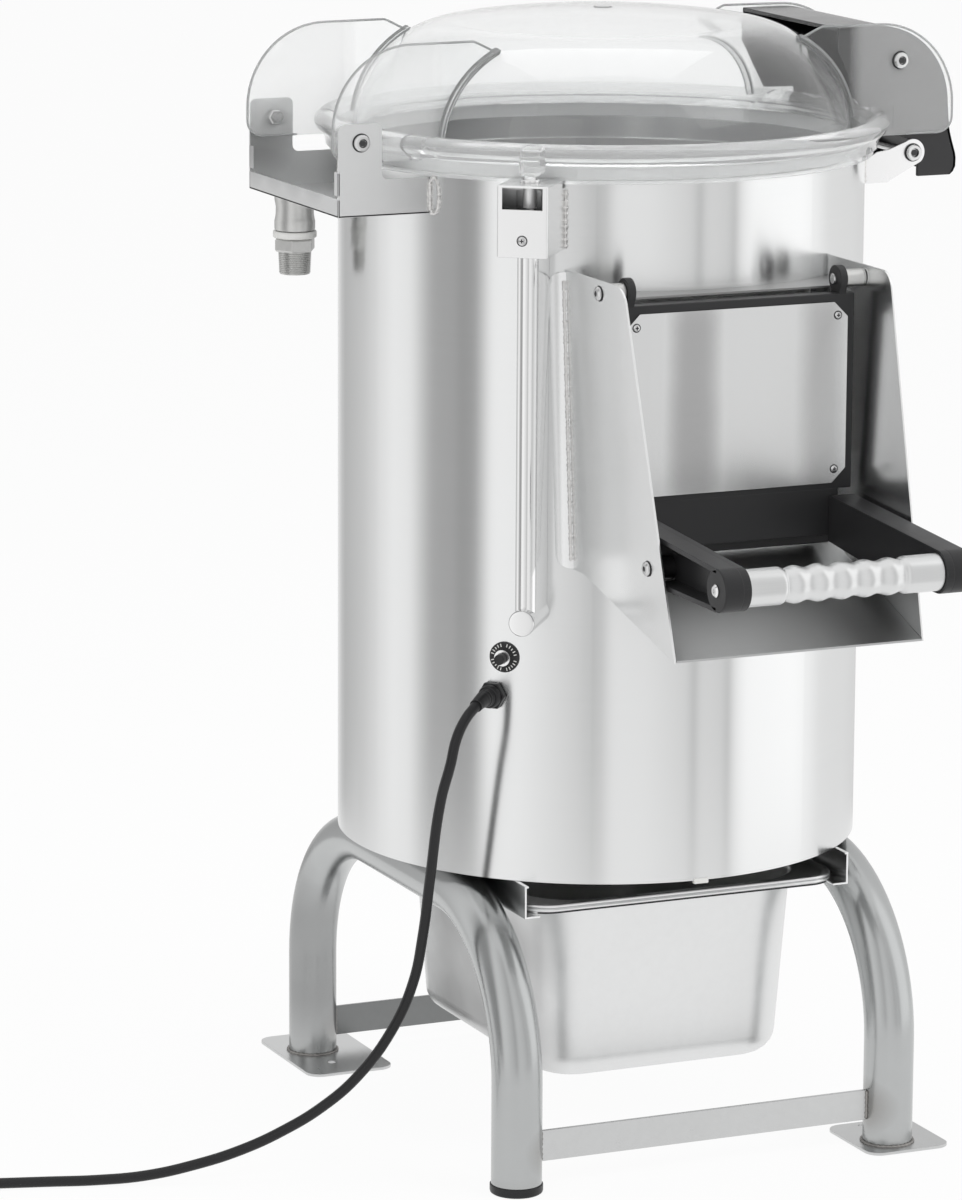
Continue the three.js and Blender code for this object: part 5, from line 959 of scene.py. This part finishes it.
def make_latch():
    centre = (FIN_REACH - FIN_CURVE, FIN_TOP - FIN_CURVE)
    foot = [(323.5, 975), (326, 963), (328.5, 954), (332, 943), (332.8, 938), (332.5, 930), (330, 925), (326.5, 922)]

    def edge(inside):
        radius = FIN_CURVE - 3 - inside
        return [(201, centre[1] + radius)] + arc(centre, radius, 90, 0, 24) + [(x - inside, z) for x, z in foot]

    inner = [(290.5, 922), (290.5, 955), (262, 965), (262, 992), (227, 992), (214, 1018), (201, 1048)]
    parts = [prism("y", edge(0) + edge(4)[::-1], -102.3, 102.3, 1.0, 3)]
    for side in (-1, 1):
        parts.append(prism("y", edge(0) + inner, *sorted((side * 98.3, side * 102.3)), 1.0, 3))
    piece("latch_lever", gather(*parts), gloss_plastic, "latch", instead=["latch_handle"])
    for name, node, side in (("latch_bolt_front", "latch_screw_front", -1), ("latch_bolt_rear", "latch_screw_rear", 1)):
        piece(name, hex_bolt(108.9, 98.0, *LATCH, side), screw_steel, "lid", instead=[node])
        # Black ring and plug at the bolt: painted shade under the head and in the socket.
        dark = move(socket_painted_shade(8, 4.5), Matrix.Rotation(side * -QUARTER, 4, "X"))
        piece(f"{name}_socket", shift(dark, LATCH[0], side * 108.7, LATCH[1]), black_plastic, "lid")

    drum_solid = lathe([(0, 0), (ON_DRUM, 0), (ON_DRUM, 1100), (0, 1100)], 180)
    ear = [(200, 918), (256.3, 918)] + arc((283.5, 946), 13, -45, 125, 20) + [(257.5, 950), (244.5, 948), (200, 922)]
    parts = [boolean(box((200, 256.3), (-103.3, 103.3), (918, 940), 0.4), drum_solid)]
    for side in (-1, 1):
        parts.append(boolean(prism("y", ear, *sorted((side * 103.1, side * 105.1)), 0.35), drum_solid))
        piece(f"latch_weld_{'front' if side < 0 else 'rear'}",
              line_bead([(math.sqrt(ON_DRUM ** 2 - 106 ** 2), side * 106, z) for z in range(919, 945, 2)], 1.6),
              weld_metal, weigh=False)
    piece("latch_holder", gather(*parts), ear_steel, instead=["latch_bracket"])
    head = [(0, 105.4), (7.4, 105.4), (8, 106), (8, 108.6), (7, 109.9), (4.4, 109.9), (3.6, 108), (0, 108)]
    shaft = lathe([(0, -105.5), (4, -105.5), (4, 105.5), (0, 105.5)], 24)
    pin = gather(lathe(head, 32), move(lathe(head, 32), Matrix.Diagonal((1, 1, -1, 1))), shaft)
    piece("latch_rod", move(pin, Matrix.Translation((283.5, 0, 946)) @ Matrix.Rotation(QUARTER, 4, "X")),
          screw_steel, instead=["latch_pin"])
    # Black rings and plugs at the rod's heads: painted shade under the heads and in the sockets.
    dark = [move(shift(socket_painted_shade(8, 4), z=105.7), Matrix.Diagonal((1, 1, side, 1))) for side in (-1, 1)]
    piece("latch_rod_painted_shade", move(gather(*dark), Matrix.Translation((283.5, 0, 946)) @ Matrix.Rotation(QUARTER, 4, "X")),
          black_plastic)


# ---- lid interlock ----

INTERLOCK = -128


def phillips(radius=4.4, height=2.2):
    """A domed head with a cross recess, its face up at z = height."""
    head = lathe([(0, 0), (radius, 0), (radius, height * 0.35), (radius * 0.86, height * 0.75),
                  (radius * 0.5, height), (0, height)], 32)
    arm = radius * 0.55
    for across in (box((-arm, arm), (-0.6, 0.6), (height * 0.35, height * 2)),
                   box((-0.6, 0.6), (-arm, arm), (height * 0.35, height * 2))):
        head = boolean(head, across)
    return head


def facing_front(bm, x, y, z):
    """Turns a shape whose face is up to face -Y at a point."""
    return move(bm, Matrix.Translation((x, y, z)) @ Matrix.Rotation(QUARTER, 4, "X"))


def make_interlock():
    drum_solid = lathe([(0, 0), (ON_DRUM, 0), (ON_DRUM, 1100), (0, 1100)], 180)
    shell = prism("z", [(-24, -200), (-24, -321), (24, -321), (24, -200)], 889, 955.5, 1.6, 3)
    shell = boolean(shell, box((-40, 40), (-264, -100), (946.5, 990)))
    shell = boolean(shell, box((-22, 22), (-319, 0), (891, 944.5)))
    shell = boolean(shell, box((-22, 22), (-319, -266), (891, 953.5)))
    shell = boolean(shell, box((-19, 19), (-330, -318), (933.5, 953.5)))
    shell = boolean(shell, shift(lathe([(0, 950), (6.5, 950), (6.5, 960), (0, 960)], 32), 0, -291))
    shell = spoke(shell, INTERLOCK)
    piece("switch_box", boolean(shell, drum_solid), box_steel, instead=["interlock_box"])
    plunger = [(0, 930.2), (3.2, 930.2), (3.2, 950), (5.7, 950), (5.7, 932), (6.4, 932), (6.4, 950.2), (8, 950.2),
               (8, 953.2), (5.5, 953.2), (5.5, 959.2), (4.9, 960.2), (4.2, 960.5), (0, 960.5)]
    piece("switch_plunger", spoke(shift(lathe(plunger, 48), 0, -291), INTERLOCK), plunger_steel, "plunger",
          instead=["interlock_plunger"])
    low, high, turns, steps = 926.7, 948.8, 5, 24
    coil = []
    for i in range(turns * steps + 1):
        a = TURN * i / steps
        coil.append((4.6 * math.cos(a), 4.6 * math.sin(a) - 291, low + (high - low) * i / (turns * steps)))
    spring = piece("switch_spring", spoke(tube(coil, 0.9, 10), INTERLOCK), bright_steel,
                   instead=["interlock_spring"], weigh=False)
    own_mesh(spring)
    ring = [(6.7, 955.6), (9.5, 955.6), (9.8, 956), (9.8, 957.4), (9.2, 958), (6.7, 958)]
    piece("switch_box_ring", spoke(shift(lathe(ring, 48), 0, -291), INTERLOCK), bright_steel)
    piece("switch_box_screw", spoke(facing_front(phillips(4.2, 2.0), 0, -321, 905), INTERLOCK), screw_steel)
    # Black ring and plug at the box screw: painted shade under the head and in the recess.
    dark = facing_front(socket_painted_shade(4.2, 2.0, 0.4, 4), 0, -321, 905)
    piece("switch_box_screw_painted_shade", spoke(dark, INTERLOCK), black_plastic)
    beads = [[(side * 25, -math.sqrt(ON_DRUM ** 2 - 24 ** 2) - 1.2, z) for z in range(890, 946, 2)] for side in (-1, 1)]
    piece("switch_box_welds", spoke(gather(*[line_bead(b, 2.0, 0.35, 6) for b in beads]), INTERLOCK), weld_metal,
          weigh=False)

    channel = arc((0, -296), 10, 180, 360, 20) + [(10, -200), (-10, -200)]
    bore = arc((0, -296), 8.5, 180, 360, 20) + [(8.5, -190), (-8.5, -190)]
    duct = boolean(prism("z", channel, 546.5, 888.7, 0.2, 1, 60), prism("z", bore, 540, 895))
    duct = boolean(spoke(duct, INTERLOCK), drum_solid)
    cap = lathe([(0, 250), (12.3, 250), (12.3, 313.2), (11.4, 314.6), (9.5, 315), (0, 315)], 48)
    cap = spoke(move(cap, Matrix.Translation((0, 0, 546.5)) @ Matrix.Rotation(QUARTER, 4, "X")), INTERLOCK)
    piece("cable_duct", gather(duct, boolean(cap, drum_solid)), duct_steel,
          instead=["interlock_conduit"])


# ---- breaker and cable gland ----

def make_electrics():
    angle, z = -135, 500.3

    def outwards(bm):
        """Turns a shape that stands on z = 0 to stand on the drum."""
        return spoke(facing_front(bm, 0, -ON_DRUM, z), angle)

    plate = [(0, 0), (14.2, 0), (14.6, 0.4), (14.6, 1.2), (14.2, 1.6), (8.2, 1.6), (0, 1.6)]
    piece("breaker_plate", outwards(lathe(plate, 64)), black_plastic, instead=["breaker_body"])
    ticks = []
    for i in range(24):
        if i % 6 == 0:
            continue
        tick = box((10.2, 13.2 if i % 3 else 12.6), (-0.45, 0.45), (1.5, 1.9), 0.12, 1)
        ticks.append(move(tick, Matrix.Rotation(TURN * i / 24, 4, "Z")))
    piece("breaker_ticks", outwards(gather(*ticks)), white_plastic)
    collar = []
    steps = 36
    for i in range(steps * 2):
        a = TURN * i / (steps * 2)
        r = 8.0 if i % 2 else 7.6
        collar.append((r * math.cos(a), r * math.sin(a)))
    nut = prism("z", collar, 1.4, 7.0, 0.15, 1, 80)
    bore = lathe([(0, 3), (5.5, 3), (5.5, 12), (0, 12)], 32)
    piece("breaker_nut", outwards(boolean(nut, bore)), bright_steel)
    knob = [(0, 6.3), (5, 6.3), (5, 14.6), (4.6, 15.6), (3.8, 16), (0, 16)]
    piece("breaker_knob", outwards(lathe(knob, 40)), black_plastic, "button",
          instead=["breaker_button"])

    gland_angle, gland_z = -137.5, 463.0

    def at_gland(bm):
        return spoke(facing_front(bm, 0, -ON_DRUM, gland_z), gland_angle)

    base = soften(lathe([(0, 0), (13.0, 0), (13.8, 0.8), (13.8, 6.4), (13.0, 7.2), (0, 7.2)], 6), 0.5, 2, 20)
    dome = lathe([(0, 7), (10.6, 7), (11.2, 8), (11.2, 10.5), (10.2, 13.0), (8.2, 14.0), (0, 14)], 48)
    route = [Vector(p) for p in CORD_ROUTE[:6]]
    path, radii = [], []
    curve_points = []
    for i in range(len(route) - 1):
        p0, p1, p2, p3 = route[max(i - 1, 0)], route[i], route[i + 1], route[min(i + 2, len(route) - 1)]
        for k in range(8):
            t = k / 8
            curve_points.append(0.5 * ((2 * p1) + (p2 - p0) * t + (2 * p0 - 5 * p1 + 4 * p2 - p3) * t * t
                                       + (3 * p1 - p0 - 3 * p2 + p3) * t ** 3))
    travelled = 0.0
    previous = curve_points[0] - Vector((-0.742, -0.676, 0)).normalized() * 2
    for point in [previous] + curve_points:
        travelled += (point - previous).length
        previous = point
        if travelled > 30:
            break
        path.append(point)
        share = travelled / 30
        ripple = 0.35 * math.cos(TURN * travelled / 4.2) if travelled > 3 else 0.0
        radii.append(8.6 - 2.7 * share + ripple)
    piece("gland_nut", at_gland(gather(base, dome)), black_rubber, instead=["cable_gland"])
    piece("strain_relief", tube(path, radii, 28), black_rubber)


# ---- chute ----

def side_x(z):
    return 127.2 + 0.02918 * (z - 541.5)


def lean(bm, side):
    for v in bm.verts:
        v.co.x = side * (v.co.x + side_x(v.co.z))
    if side < 0:
        bmesh.ops.reverse_faces(bm, faces=bm.faces)
    return bm


def socket_head(radius=6.2, height=3.4):
    head = lathe([(0, 0), (radius - 0.4, 0), (radius, 0.5), (radius, height - 1.4), (radius - 1.6, height),
                  (radius * 0.5, height), (0, height)], 40)
    return boolean(head, lathe([(0, height * 0.4), (radius * 0.42, height * 0.4), (radius * 0.42, height * 2),
                                (0, height * 2)], 6))


def facing_side(bm, x, y, z, side):
    return move(bm, Matrix.Translation((x, y, z)) @ Matrix.Rotation(side * QUARTER, 4, "Y"))


def make_chute():
    drum_solid = lathe([(0, 0), (ON_DRUM, 0), (ON_DRUM, 1100), (0, 1100)], 180)
    outline = [(-180, 870.5)] + arc((-326, 849.5), 21, 90, 170, 10) + [(-437, 541.5), (-243, 588), (-180, 588)]
    for side, name in ((-1, "left"), (1, "right")):
        panel = lean(prism("x", outline, -2, 0, 0.35), side)
        rows, steps = 22, 10
        low, high, corner = 589.0, 868.0, 11.0
        verts, faces = [], []
        grid = {}
        for i in range(steps + 1):
            across = -2 + 15 * i / steps
            for k in range(rows + 1):
                z = low + (high - low) * k / rows
                room = max(across - (13 - corner), 0)
                trim = corner - math.sqrt(max(corner ** 2 - room ** 2, 0)) if room > 0 else 0
                z = min(max(z, low + trim), high - trim)
                x = side_x(z) + across
                bulge = 2.2 * math.sqrt(max(1 - (room / corner) ** 2, 0.0)) + 0.2
                for layer, radius in enumerate((ON_DRUM - 0.2, ON_DRUM + bulge)):
                    grid[i, k, layer] = len(verts)
                    verts.append((side * x, -math.sqrt(radius ** 2 - x ** 2), z))
        for i in range(steps):
            for k in range(rows):
                for layer in (0, 1):
                    faces.append((grid[i, k, layer], grid[i + 1, k, layer], grid[i + 1, k + 1, layer], grid[i, k + 1, layer]))
        for i in range(steps):
            for k in (0, rows):
                faces.append((grid[i, k, 0], grid[i + 1, k, 0], grid[i + 1, k, 1], grid[i, k, 1]))
        for k in range(rows):
            for i in (0, steps):
                faces.append((grid[i, k, 0], grid[i, k + 1, 0], grid[i, k + 1, 1], grid[i, k, 1]))
        strip = mesh_from(verts, faces)
        piece(f"chute_wall_{name}", gather(boolean(panel, drum_solid), strip), side_steel,
              instead=[f"chute_side_{name}"])
        bead = []
        for z in range(596, 864, 4):
            x = side_x(z) + 2.0
            bead.append((side * x, -math.sqrt((ON_DRUM + 2.6) ** 2 - x ** 2), z))
        piece(f"chute_weld_{name}", line_bead(bead, 1.7, 0.25, 5), weld_metal, weigh=False)
    parts = []
    floor = prism("x", [(-436.7, 541.8), (-180, 626), (-180, 628), (-436.7, 543.8)], -140, 140)
    wall_room = prism("y", [(-(side_x(500) - 2.3), 500), (side_x(500) - 2.3, 500), (side_x(900) - 2.3, 900),
                            (-(side_x(900) - 2.3), 900)], -500, 0)
    floor = boolean(boolean(floor, drum_solid), wall_room, "INTERSECT")
    piece("chute_tray", floor, tray_steel, instead=["chute_floor"])
    roof = box((-140, 140), (-274.3, -180), (848, 850))
    roof = boolean(boolean(roof, drum_solid), wall_room, "INTERSECT")
    piece("chute_roof", roof, dull_steel, instead=["chute_top"])


# ---- door ----

def make_door():
    parts = [
        box((-121.5, 121.5), (-298.5, -284.5), (661.8, 846), 1.2, 3),
        box((-108, 108), (-298.5, -284.5), (618, 663), 1.2, 3),
        box((-106, 106), (-285.5, -257.5), (608, 838), 1.5, 3),
    ]
    ear = [(-296.5, 839.5), (-284.5, 839.5)] + arc((-290, 858.5), 13, -50, 215, 24)
    for side in (-1, 1):
        parts.append(prism("x", ear, *sorted((side * 105, side * 112.5)), 0.8))
    piece("door_slab", gather(*parts), black_plastic, "door", instead=["door_panel"])
    c = 14
    plate = [(c - 114, 667.5), (114 - c, 667.5), (114, 667.5 + c), (114, 838.5 - c), (114 - c, 838.5), (c - 114, 838.5),
             (-114, 838.5 - c), (-114, 667.5 + c)]
    piece("door_cover", prism("y", plate, -300.3, -298.8, 0.4), plate_steel, "door",
          instead=["door_plate"])
    screws = [facing_front(phillips(3.3, 1.6), x, -300.3, z)
              for x, z in ((-103.5, 826), (103.5, 826), (-102, 681), (102, 681))]
    piece("door_screws", gather(*screws), screw_steel, "door")
    # Black rings and plugs at the door screws: painted shade under the heads and in the recesses.
    dark = [facing_front(socket_painted_shade(3.3, 1.6, 0.5, 4), x, -300.3, z)
            for x, z in ((-103.5, 826), (103.5, 826), (-102, 681), (102, 681))]
    piece("door_screw_painted_shade", gather(*dark), black_plastic, "door")


make_drum()
make_stand()
make_pan()
dull_steel_light = surface("fitting_steel", (0.6, 0.6, 0.59), 0.34, 1.0, grain=(200, 200, 200), bump=0.2,
                           depth=0.0001, tint=0.1, spread=0.07, wear=0.25)
# Soft dark vertical bands on the door plate: painted reflections.
plate_painted_reflections = [((x, -300, z), 34, (0.45, 0.45, 0.45), share)
         for x, share in ((-44, 0.5), (90, 0.3)) for z in range(670, 850, 12)]
plate_steel = surface("plate_steel", (0.8, 0.805, 0.805), 0.25, 1.0, grain=(300, 300, 4), bump=0.01, tint=0.01,
                      spread=0.02, marks=plate_painted_reflections)
make_lid()
make_hinge()
make_inlet()
make_latch()
make_interlock()
make_electrics()
make_chute()
make_door()


# ---- door arms, grip and pins ----

ARM_TIP = (-513.0, 623.0)
STUD = (-384.0, 619.4)


def arm_shape():
    """The arm on the +X side: a web with a raised rim along its edges, a round tip and a hook round the stud."""
    tip_y, tip_z = ARM_TIP
    root, hook, top = -298.8, 6.2, 643.0
    web = [(root, 612), (root, 656), (tip_y, top)] + arc(ARM_TIP, 20, 100, 260, 16) + \
        [(tip_y, tip_z - 20), (STUD[0], STUD[1] - hook - 10)]
    shapes = [prism("x", web, 98, 106, 0.8)]
    rims = [
        [(root, 656), (tip_y, top), (tip_y, top - 5), (root, 651)],
        [(tip_y, tip_z - 20), (STUD[0] - hook, STUD[1] - hook - 10), (STUD[0] - hook, STUD[1] - hook - 5), (tip_y, tip_z - 15)],
        arc(STUD, hook + 5, 50, 250, 16) + arc(STUD, hook, 250, 50, 16),
        [(root, 656), (root, 641), (root - 5, 641), (root - 5, 656)],
    ]
    for rim in rims:
        shapes.append(prism("x", rim, 105, 124, 0.7))
    shapes.append(prism("x", arc(ARM_TIP, 20, 0, 360, 48)[:-1], 105, 124, 1.6, 3))
    shapes.append(prism("x", arc(ARM_TIP, 20, 0, 360, 48)[:-1], 97.9, 106, 1.2, 3))
    return gather(*shapes)


def make_arms():
    right = arm_shape()
    left = mirrored(right, "x")
    piece("door_lever_left", left, black_plastic, "door", instead=["door_arm_left"])
    piece("door_lever_right", right, black_plastic, "door", instead=["door_arm_right"])
    profile = [(0, -97.7), (16.6, -97.7), (17.2, -97.0)]
    steps = 120
    for i in range(steps + 1):
        x = -68 + 136 * i / steps
        inside = abs(x) <= 58.75
        depth = 1.2 * (1 - math.cos(TURN * (x + 58.75) / 23.5)) if not inside else 1.2 * (1 + math.cos(TURN * (x + 58.75) / 23.5))
        if not inside:
            depth = 2.4 * max(1 - (abs(x) - 58.75) / 5.0, 0) ** 2 if abs(x) < 63.75 else 0.0
        profile.append((17.2 - depth, x))
    profile += [(17.2, 97.0), (16.6, 97.7), (0, 97.7)]
    grip = lathe(profile, 64, "x", (0, *ARM_TIP))
    piece("door_handle", grip, satin_metal, "door", instead=["door_grip"], sharp=50)
    for side, name in ((-1, "left"), (1, "right")):
        screw = facing_side(socket_head(6.0, 2.4), side * 124, *ARM_TIP, side)
        piece(f"door_handle_screw_{name}", screw, bright_steel, "door")


def make_door_pins():
    for side, name in ((-1, "left"), (1, "right")):
        y, z = -290.0, 858.5
        out = side_x(z)
        shaft = [(0, 102.2), (4.4, 102.2), (5.2, 102.8), (5.2, 104.4), (4.9, 104.7), (4, 104.7), (4, out + 0.6),
                 (0, out + 0.6)]
        spacer = [(4.2, 112.8), (8.2, 112.8), (8.5, 113.2), (8.5, out - 5.0), (7.9, out - 4.7), (7.9, out - 4.1),
                  (8.5, out - 3.8), (8.5, out - 3.0), (8.2, out - 2.6), (4.2, out - 2.6)]
        head = shift(socket_head(6.5, 3.4), z=out + 0.6)
        pin = gather(lathe(shaft, 32), head)
        piece(f"door_pivot_{name}", facing_side(pin, 0, y, z, side), screw_steel,
              instead=[f"door_pin_{name}"])
        # Black ring and plug at the pivot's head: painted shade under the head and in the socket.
        dark = shift(socket_painted_shade(6.5, 3.4, 0.4), z=out + 0.25)
        piece(f"door_pivot_{name}_socket", facing_side(dark, 0, y, z, side), black_plastic)
        piece(f"door_spacer_{name}", facing_side(lathe(spacer, 48), 0, y, z, side), dull_steel_light)
        y, z = STUD
        out = side_x(z)
        rod = [(0, 108)]
        x = 108.3
        rod += [(5.0, 108)]
        while x < out - 4:
            rod += [(5.2, x), (4.7, x + 0.5), (5.2, x + 1.0)]
            x += 1.5
        rod += [(5.2, out - 2.6), (3, out - 2.6), (3, out + 0.6), (0, out + 0.6)]
        head = shift(socket_head(6.5, 3.4), z=out + 0.6)
        piece(f"rest_stud_{name}", facing_side(gather(lathe(rod, 32), head), 0, y, z, side), screw_steel,
              instead=[f"catch_stud_{name}"])
        # Black ring and plug at the stud's head: painted shade under the head and in the socket.
        dark = shift(socket_painted_shade(6.5, 3.4, 0.4), z=out + 0.25)
        piece(f"rest_stud_{name}_socket", facing_side(dark, 0, y, z, side), black_plastic)


make_arms()
make_door_pins()


# ---- small trim ----

def make_edge_clip():
    angle = math.radians(-91.7)
    clip = box((-7.5, 7.5), (-255.4, -250), (281.2, 286.5), 0.8)
    piece("edge_clip", move(clip, Matrix.Rotation(angle + QUARTER, 4, "Z")), white_plastic)


make_edge_clip()


# ---- carried CAD nodes ----

def dress(look, *names):
    for name in names:
        node = nodes[name]
        node.data.materials.clear()
        node.data.materials.append(look)


dress(dull_steel, "chamber_floor", "base_plate", "drain_spout", "bearing_housing", "driven_pulley", "motor_pulley",
      "drive_shaft")
dress(cast_steel, "motor")
dress(grit_coat, "abrasive_disc")
dress(dull_steel, "abrasive_liner")
dress(black_rubber, "drive_belt")
dress(seal_silicone, "lid_seal")
dress(black_plastic, "interlock_switch")


# ---- studio ----

def emission(name, colour, strength):
    material = bpy.data.materials.new(name)
    material.use_nodes = True
    tree = material.node_tree
    tree.nodes.clear()
    node = tree.nodes.new("ShaderNodeEmission")
    node.inputs["Color"].default_value = (*colour, 1)
    node.inputs["Strength"].default_value = strength
    output = tree.nodes.new("ShaderNodeOutputMaterial")
    link(tree, node.outputs[0], output.inputs["Surface"])
    return material


def make_floor():
    bm = bmesh.new()
    size = 30.0
    bm.faces.new([bm.verts.new((x * size, y * size, 0)) for x, y in ((-1, -1), (1, -1), (1, 1), (-1, 1))])
    mesh = bpy.data.meshes.new("floor")
    bm.to_mesh(mesh)
    bm.free()
    floor = bpy.data.objects.new("floor", mesh)
    floor.location.z = -0.0005
    bpy.context.scene.collection.objects.link(floor)
    material = bpy.data.materials.new("floor")
    material.use_nodes = True
    tree = material.node_tree
    tree.nodes.clear()
    diffuse = tree.nodes.new("ShaderNodeBsdfDiffuse")
    diffuse.inputs["Color"].default_value = (0.85, 0.85, 0.85, 1)
    glow = tree.nodes.new("ShaderNodeEmission")
    glow.inputs["Strength"].default_value = 1.0
    rays = tree.nodes.new("ShaderNodeLightPath")
    seen = math_node(tree, "MAXIMUM", rays.outputs["Is Camera Ray"],
                     math_node(tree, "MAXIMUM", rays.outputs["Is Glossy Ray"], rays.outputs["Is Transmission Ray"]))
    factor = math_node(tree, "MULTIPLY", seen, 0.94)
    mix = tree.nodes.new("ShaderNodeMixShader")
    link(tree, factor, mix.inputs[0])
    link(tree, diffuse.outputs[0], mix.inputs[1])
    link(tree, glow.outputs[0], mix.inputs[2])
    output = tree.nodes.new("ShaderNodeOutputMaterial")
    link(tree, mix.outputs[0], output.inputs["Surface"])
    mesh.materials.append(material)


def make_world():
    world = bpy.data.worlds.new("studio")
    bpy.context.scene.world = world
    world.use_nodes = True
    tree = world.node_tree
    tree.nodes.clear()
    ambient = tree.nodes.new("ShaderNodeBackground")
    ambient.inputs["Color"].default_value = (1, 1, 1, 1)
    ambient.inputs["Strength"].default_value = 0.5
    white = tree.nodes.new("ShaderNodeBackground")
    white.inputs["Color"].default_value = (1, 1, 1, 1)
    white.inputs["Strength"].default_value = 1.0
    rays = tree.nodes.new("ShaderNodeLightPath")
    seen = math_node(tree, "MAXIMUM", rays.outputs["Is Camera Ray"],
                     math_node(tree, "MAXIMUM", rays.outputs["Is Glossy Ray"], rays.outputs["Is Transmission Ray"]))
    mix = tree.nodes.new("ShaderNodeMixShader")
    link(tree, seen, mix.inputs[0])
    link(tree, ambient.outputs[0], mix.inputs[1])
    link(tree, white.outputs[0], mix.inputs[2])
    output = tree.nodes.new("ShaderNodeOutputWorld")
    link(tree, mix.outputs[0], output.inputs["Surface"])


# Grey and white screens round the machine, which only its shine picks up: (azimuth in degrees, brightness).
SCREENS = [
    (85, 0.92), (94, 0.74), (105, 0.52), (130, 0.7), (152, 1.05), (163, 1.0), (171, 0.6), (175, 0.46), (186, 0.44),
    (188, 0.37), (195, 0.4), (202, 1.1), (214, 1.05), (238, 0.76), (245, 0.56), (251, 0.97), (264, 0.95),
    (282, 0.8), (284, 0.42), (286, 0.85), (297, 0.78), (299, 0.42), (301, 0.95), (307, 1.22), (335, 1.26), (352, 0.92), (378, 0.85),
    (402, 0.7), (416, 0.85), (445, 0.92),
]
SCREEN_RADIUS = 1.25
SCREEN_HEIGHT = 2.3


def make_screens():
    bm = bmesh.new()
    layer = bm.loops.layers.float_color.new("glow")
    angles = sorted(set([a for a, _ in SCREENS] + list(range(86, 445, 3))))

    def level(angle):
        for (a, u), (b, v) in zip(SCREENS, SCREENS[1:]):
            if a <= angle <= b:
                return u + (v - u) * (angle - a) / (b - a)
        return SCREENS[-1][1]

    columns = []
    for angle in angles:
        a = math.radians(angle)
        x, y = SCREEN_RADIUS * math.cos(a) + AXIS.x * MM, SCREEN_RADIUS * math.sin(a) + AXIS.y * MM
        columns.append([bm.verts.new((x, y, z)) for z in (0.0, SCREEN_HEIGHT)])
    for i in range(len(angles) - 1):
        face = bm.faces.new([columns[i][0], columns[i + 1][0], columns[i + 1][1], columns[i][1]])
        for loop, k in zip(face.loops, (i, i + 1, i + 1, i)):
            value = level(angles[k])
            loop[layer] = (value, value, value, 1)
    mesh = bpy.data.meshes.new("screens")
    bm.to_mesh(mesh)
    bm.free()
    screens = bpy.data.objects.new("screens", mesh)
    bpy.context.scene.collection.objects.link(screens)
    material = emission("screens", (1, 1, 1), 1.0)
    tree = material.node_tree
    glow = tree.nodes.new("ShaderNodeVertexColor")
    glow.layer_name = "glow"
    link(tree, glow.outputs[0], tree.nodes["Emission"].inputs["Color"])
    mesh.materials.append(material)
    screens.visible_camera = False
    screens.visible_diffuse = False
    screens.visible_transmission = False
    screens.visible_shadow = False


def lamp(name, place_at, target, width, height, power):
    data = bpy.data.lights.new(name, "AREA")
    data.shape = "RECTANGLE"
    data.size = width
    data.size_y = height
    data.energy = power
    obj = bpy.data.objects.new(name, data)
    obj.location = place_at
    obj.rotation_euler = (Vector(target) - Vector(place_at)).to_track_quat("-Z", "Y").to_euler()
    obj.visible_glossy = False
    bpy.context.scene.collection.objects.link(obj)


make_floor()
make_world()
make_screens()
lamp("key", (2.2, -3.0, 3.2), (0, 0, 0.6), 2.0, 2.0, 60)
lamp("fill", (-3.2, -2.4, 2.2), (0, 0, 0.5), 2.4, 2.4, 45)
lamp("top", (0.2, 0.6, 3.6), (0, 0.1, 0.8), 2.2, 2.2, 35)

bpy.context.scene.view_settings.view_transform = "Standard"
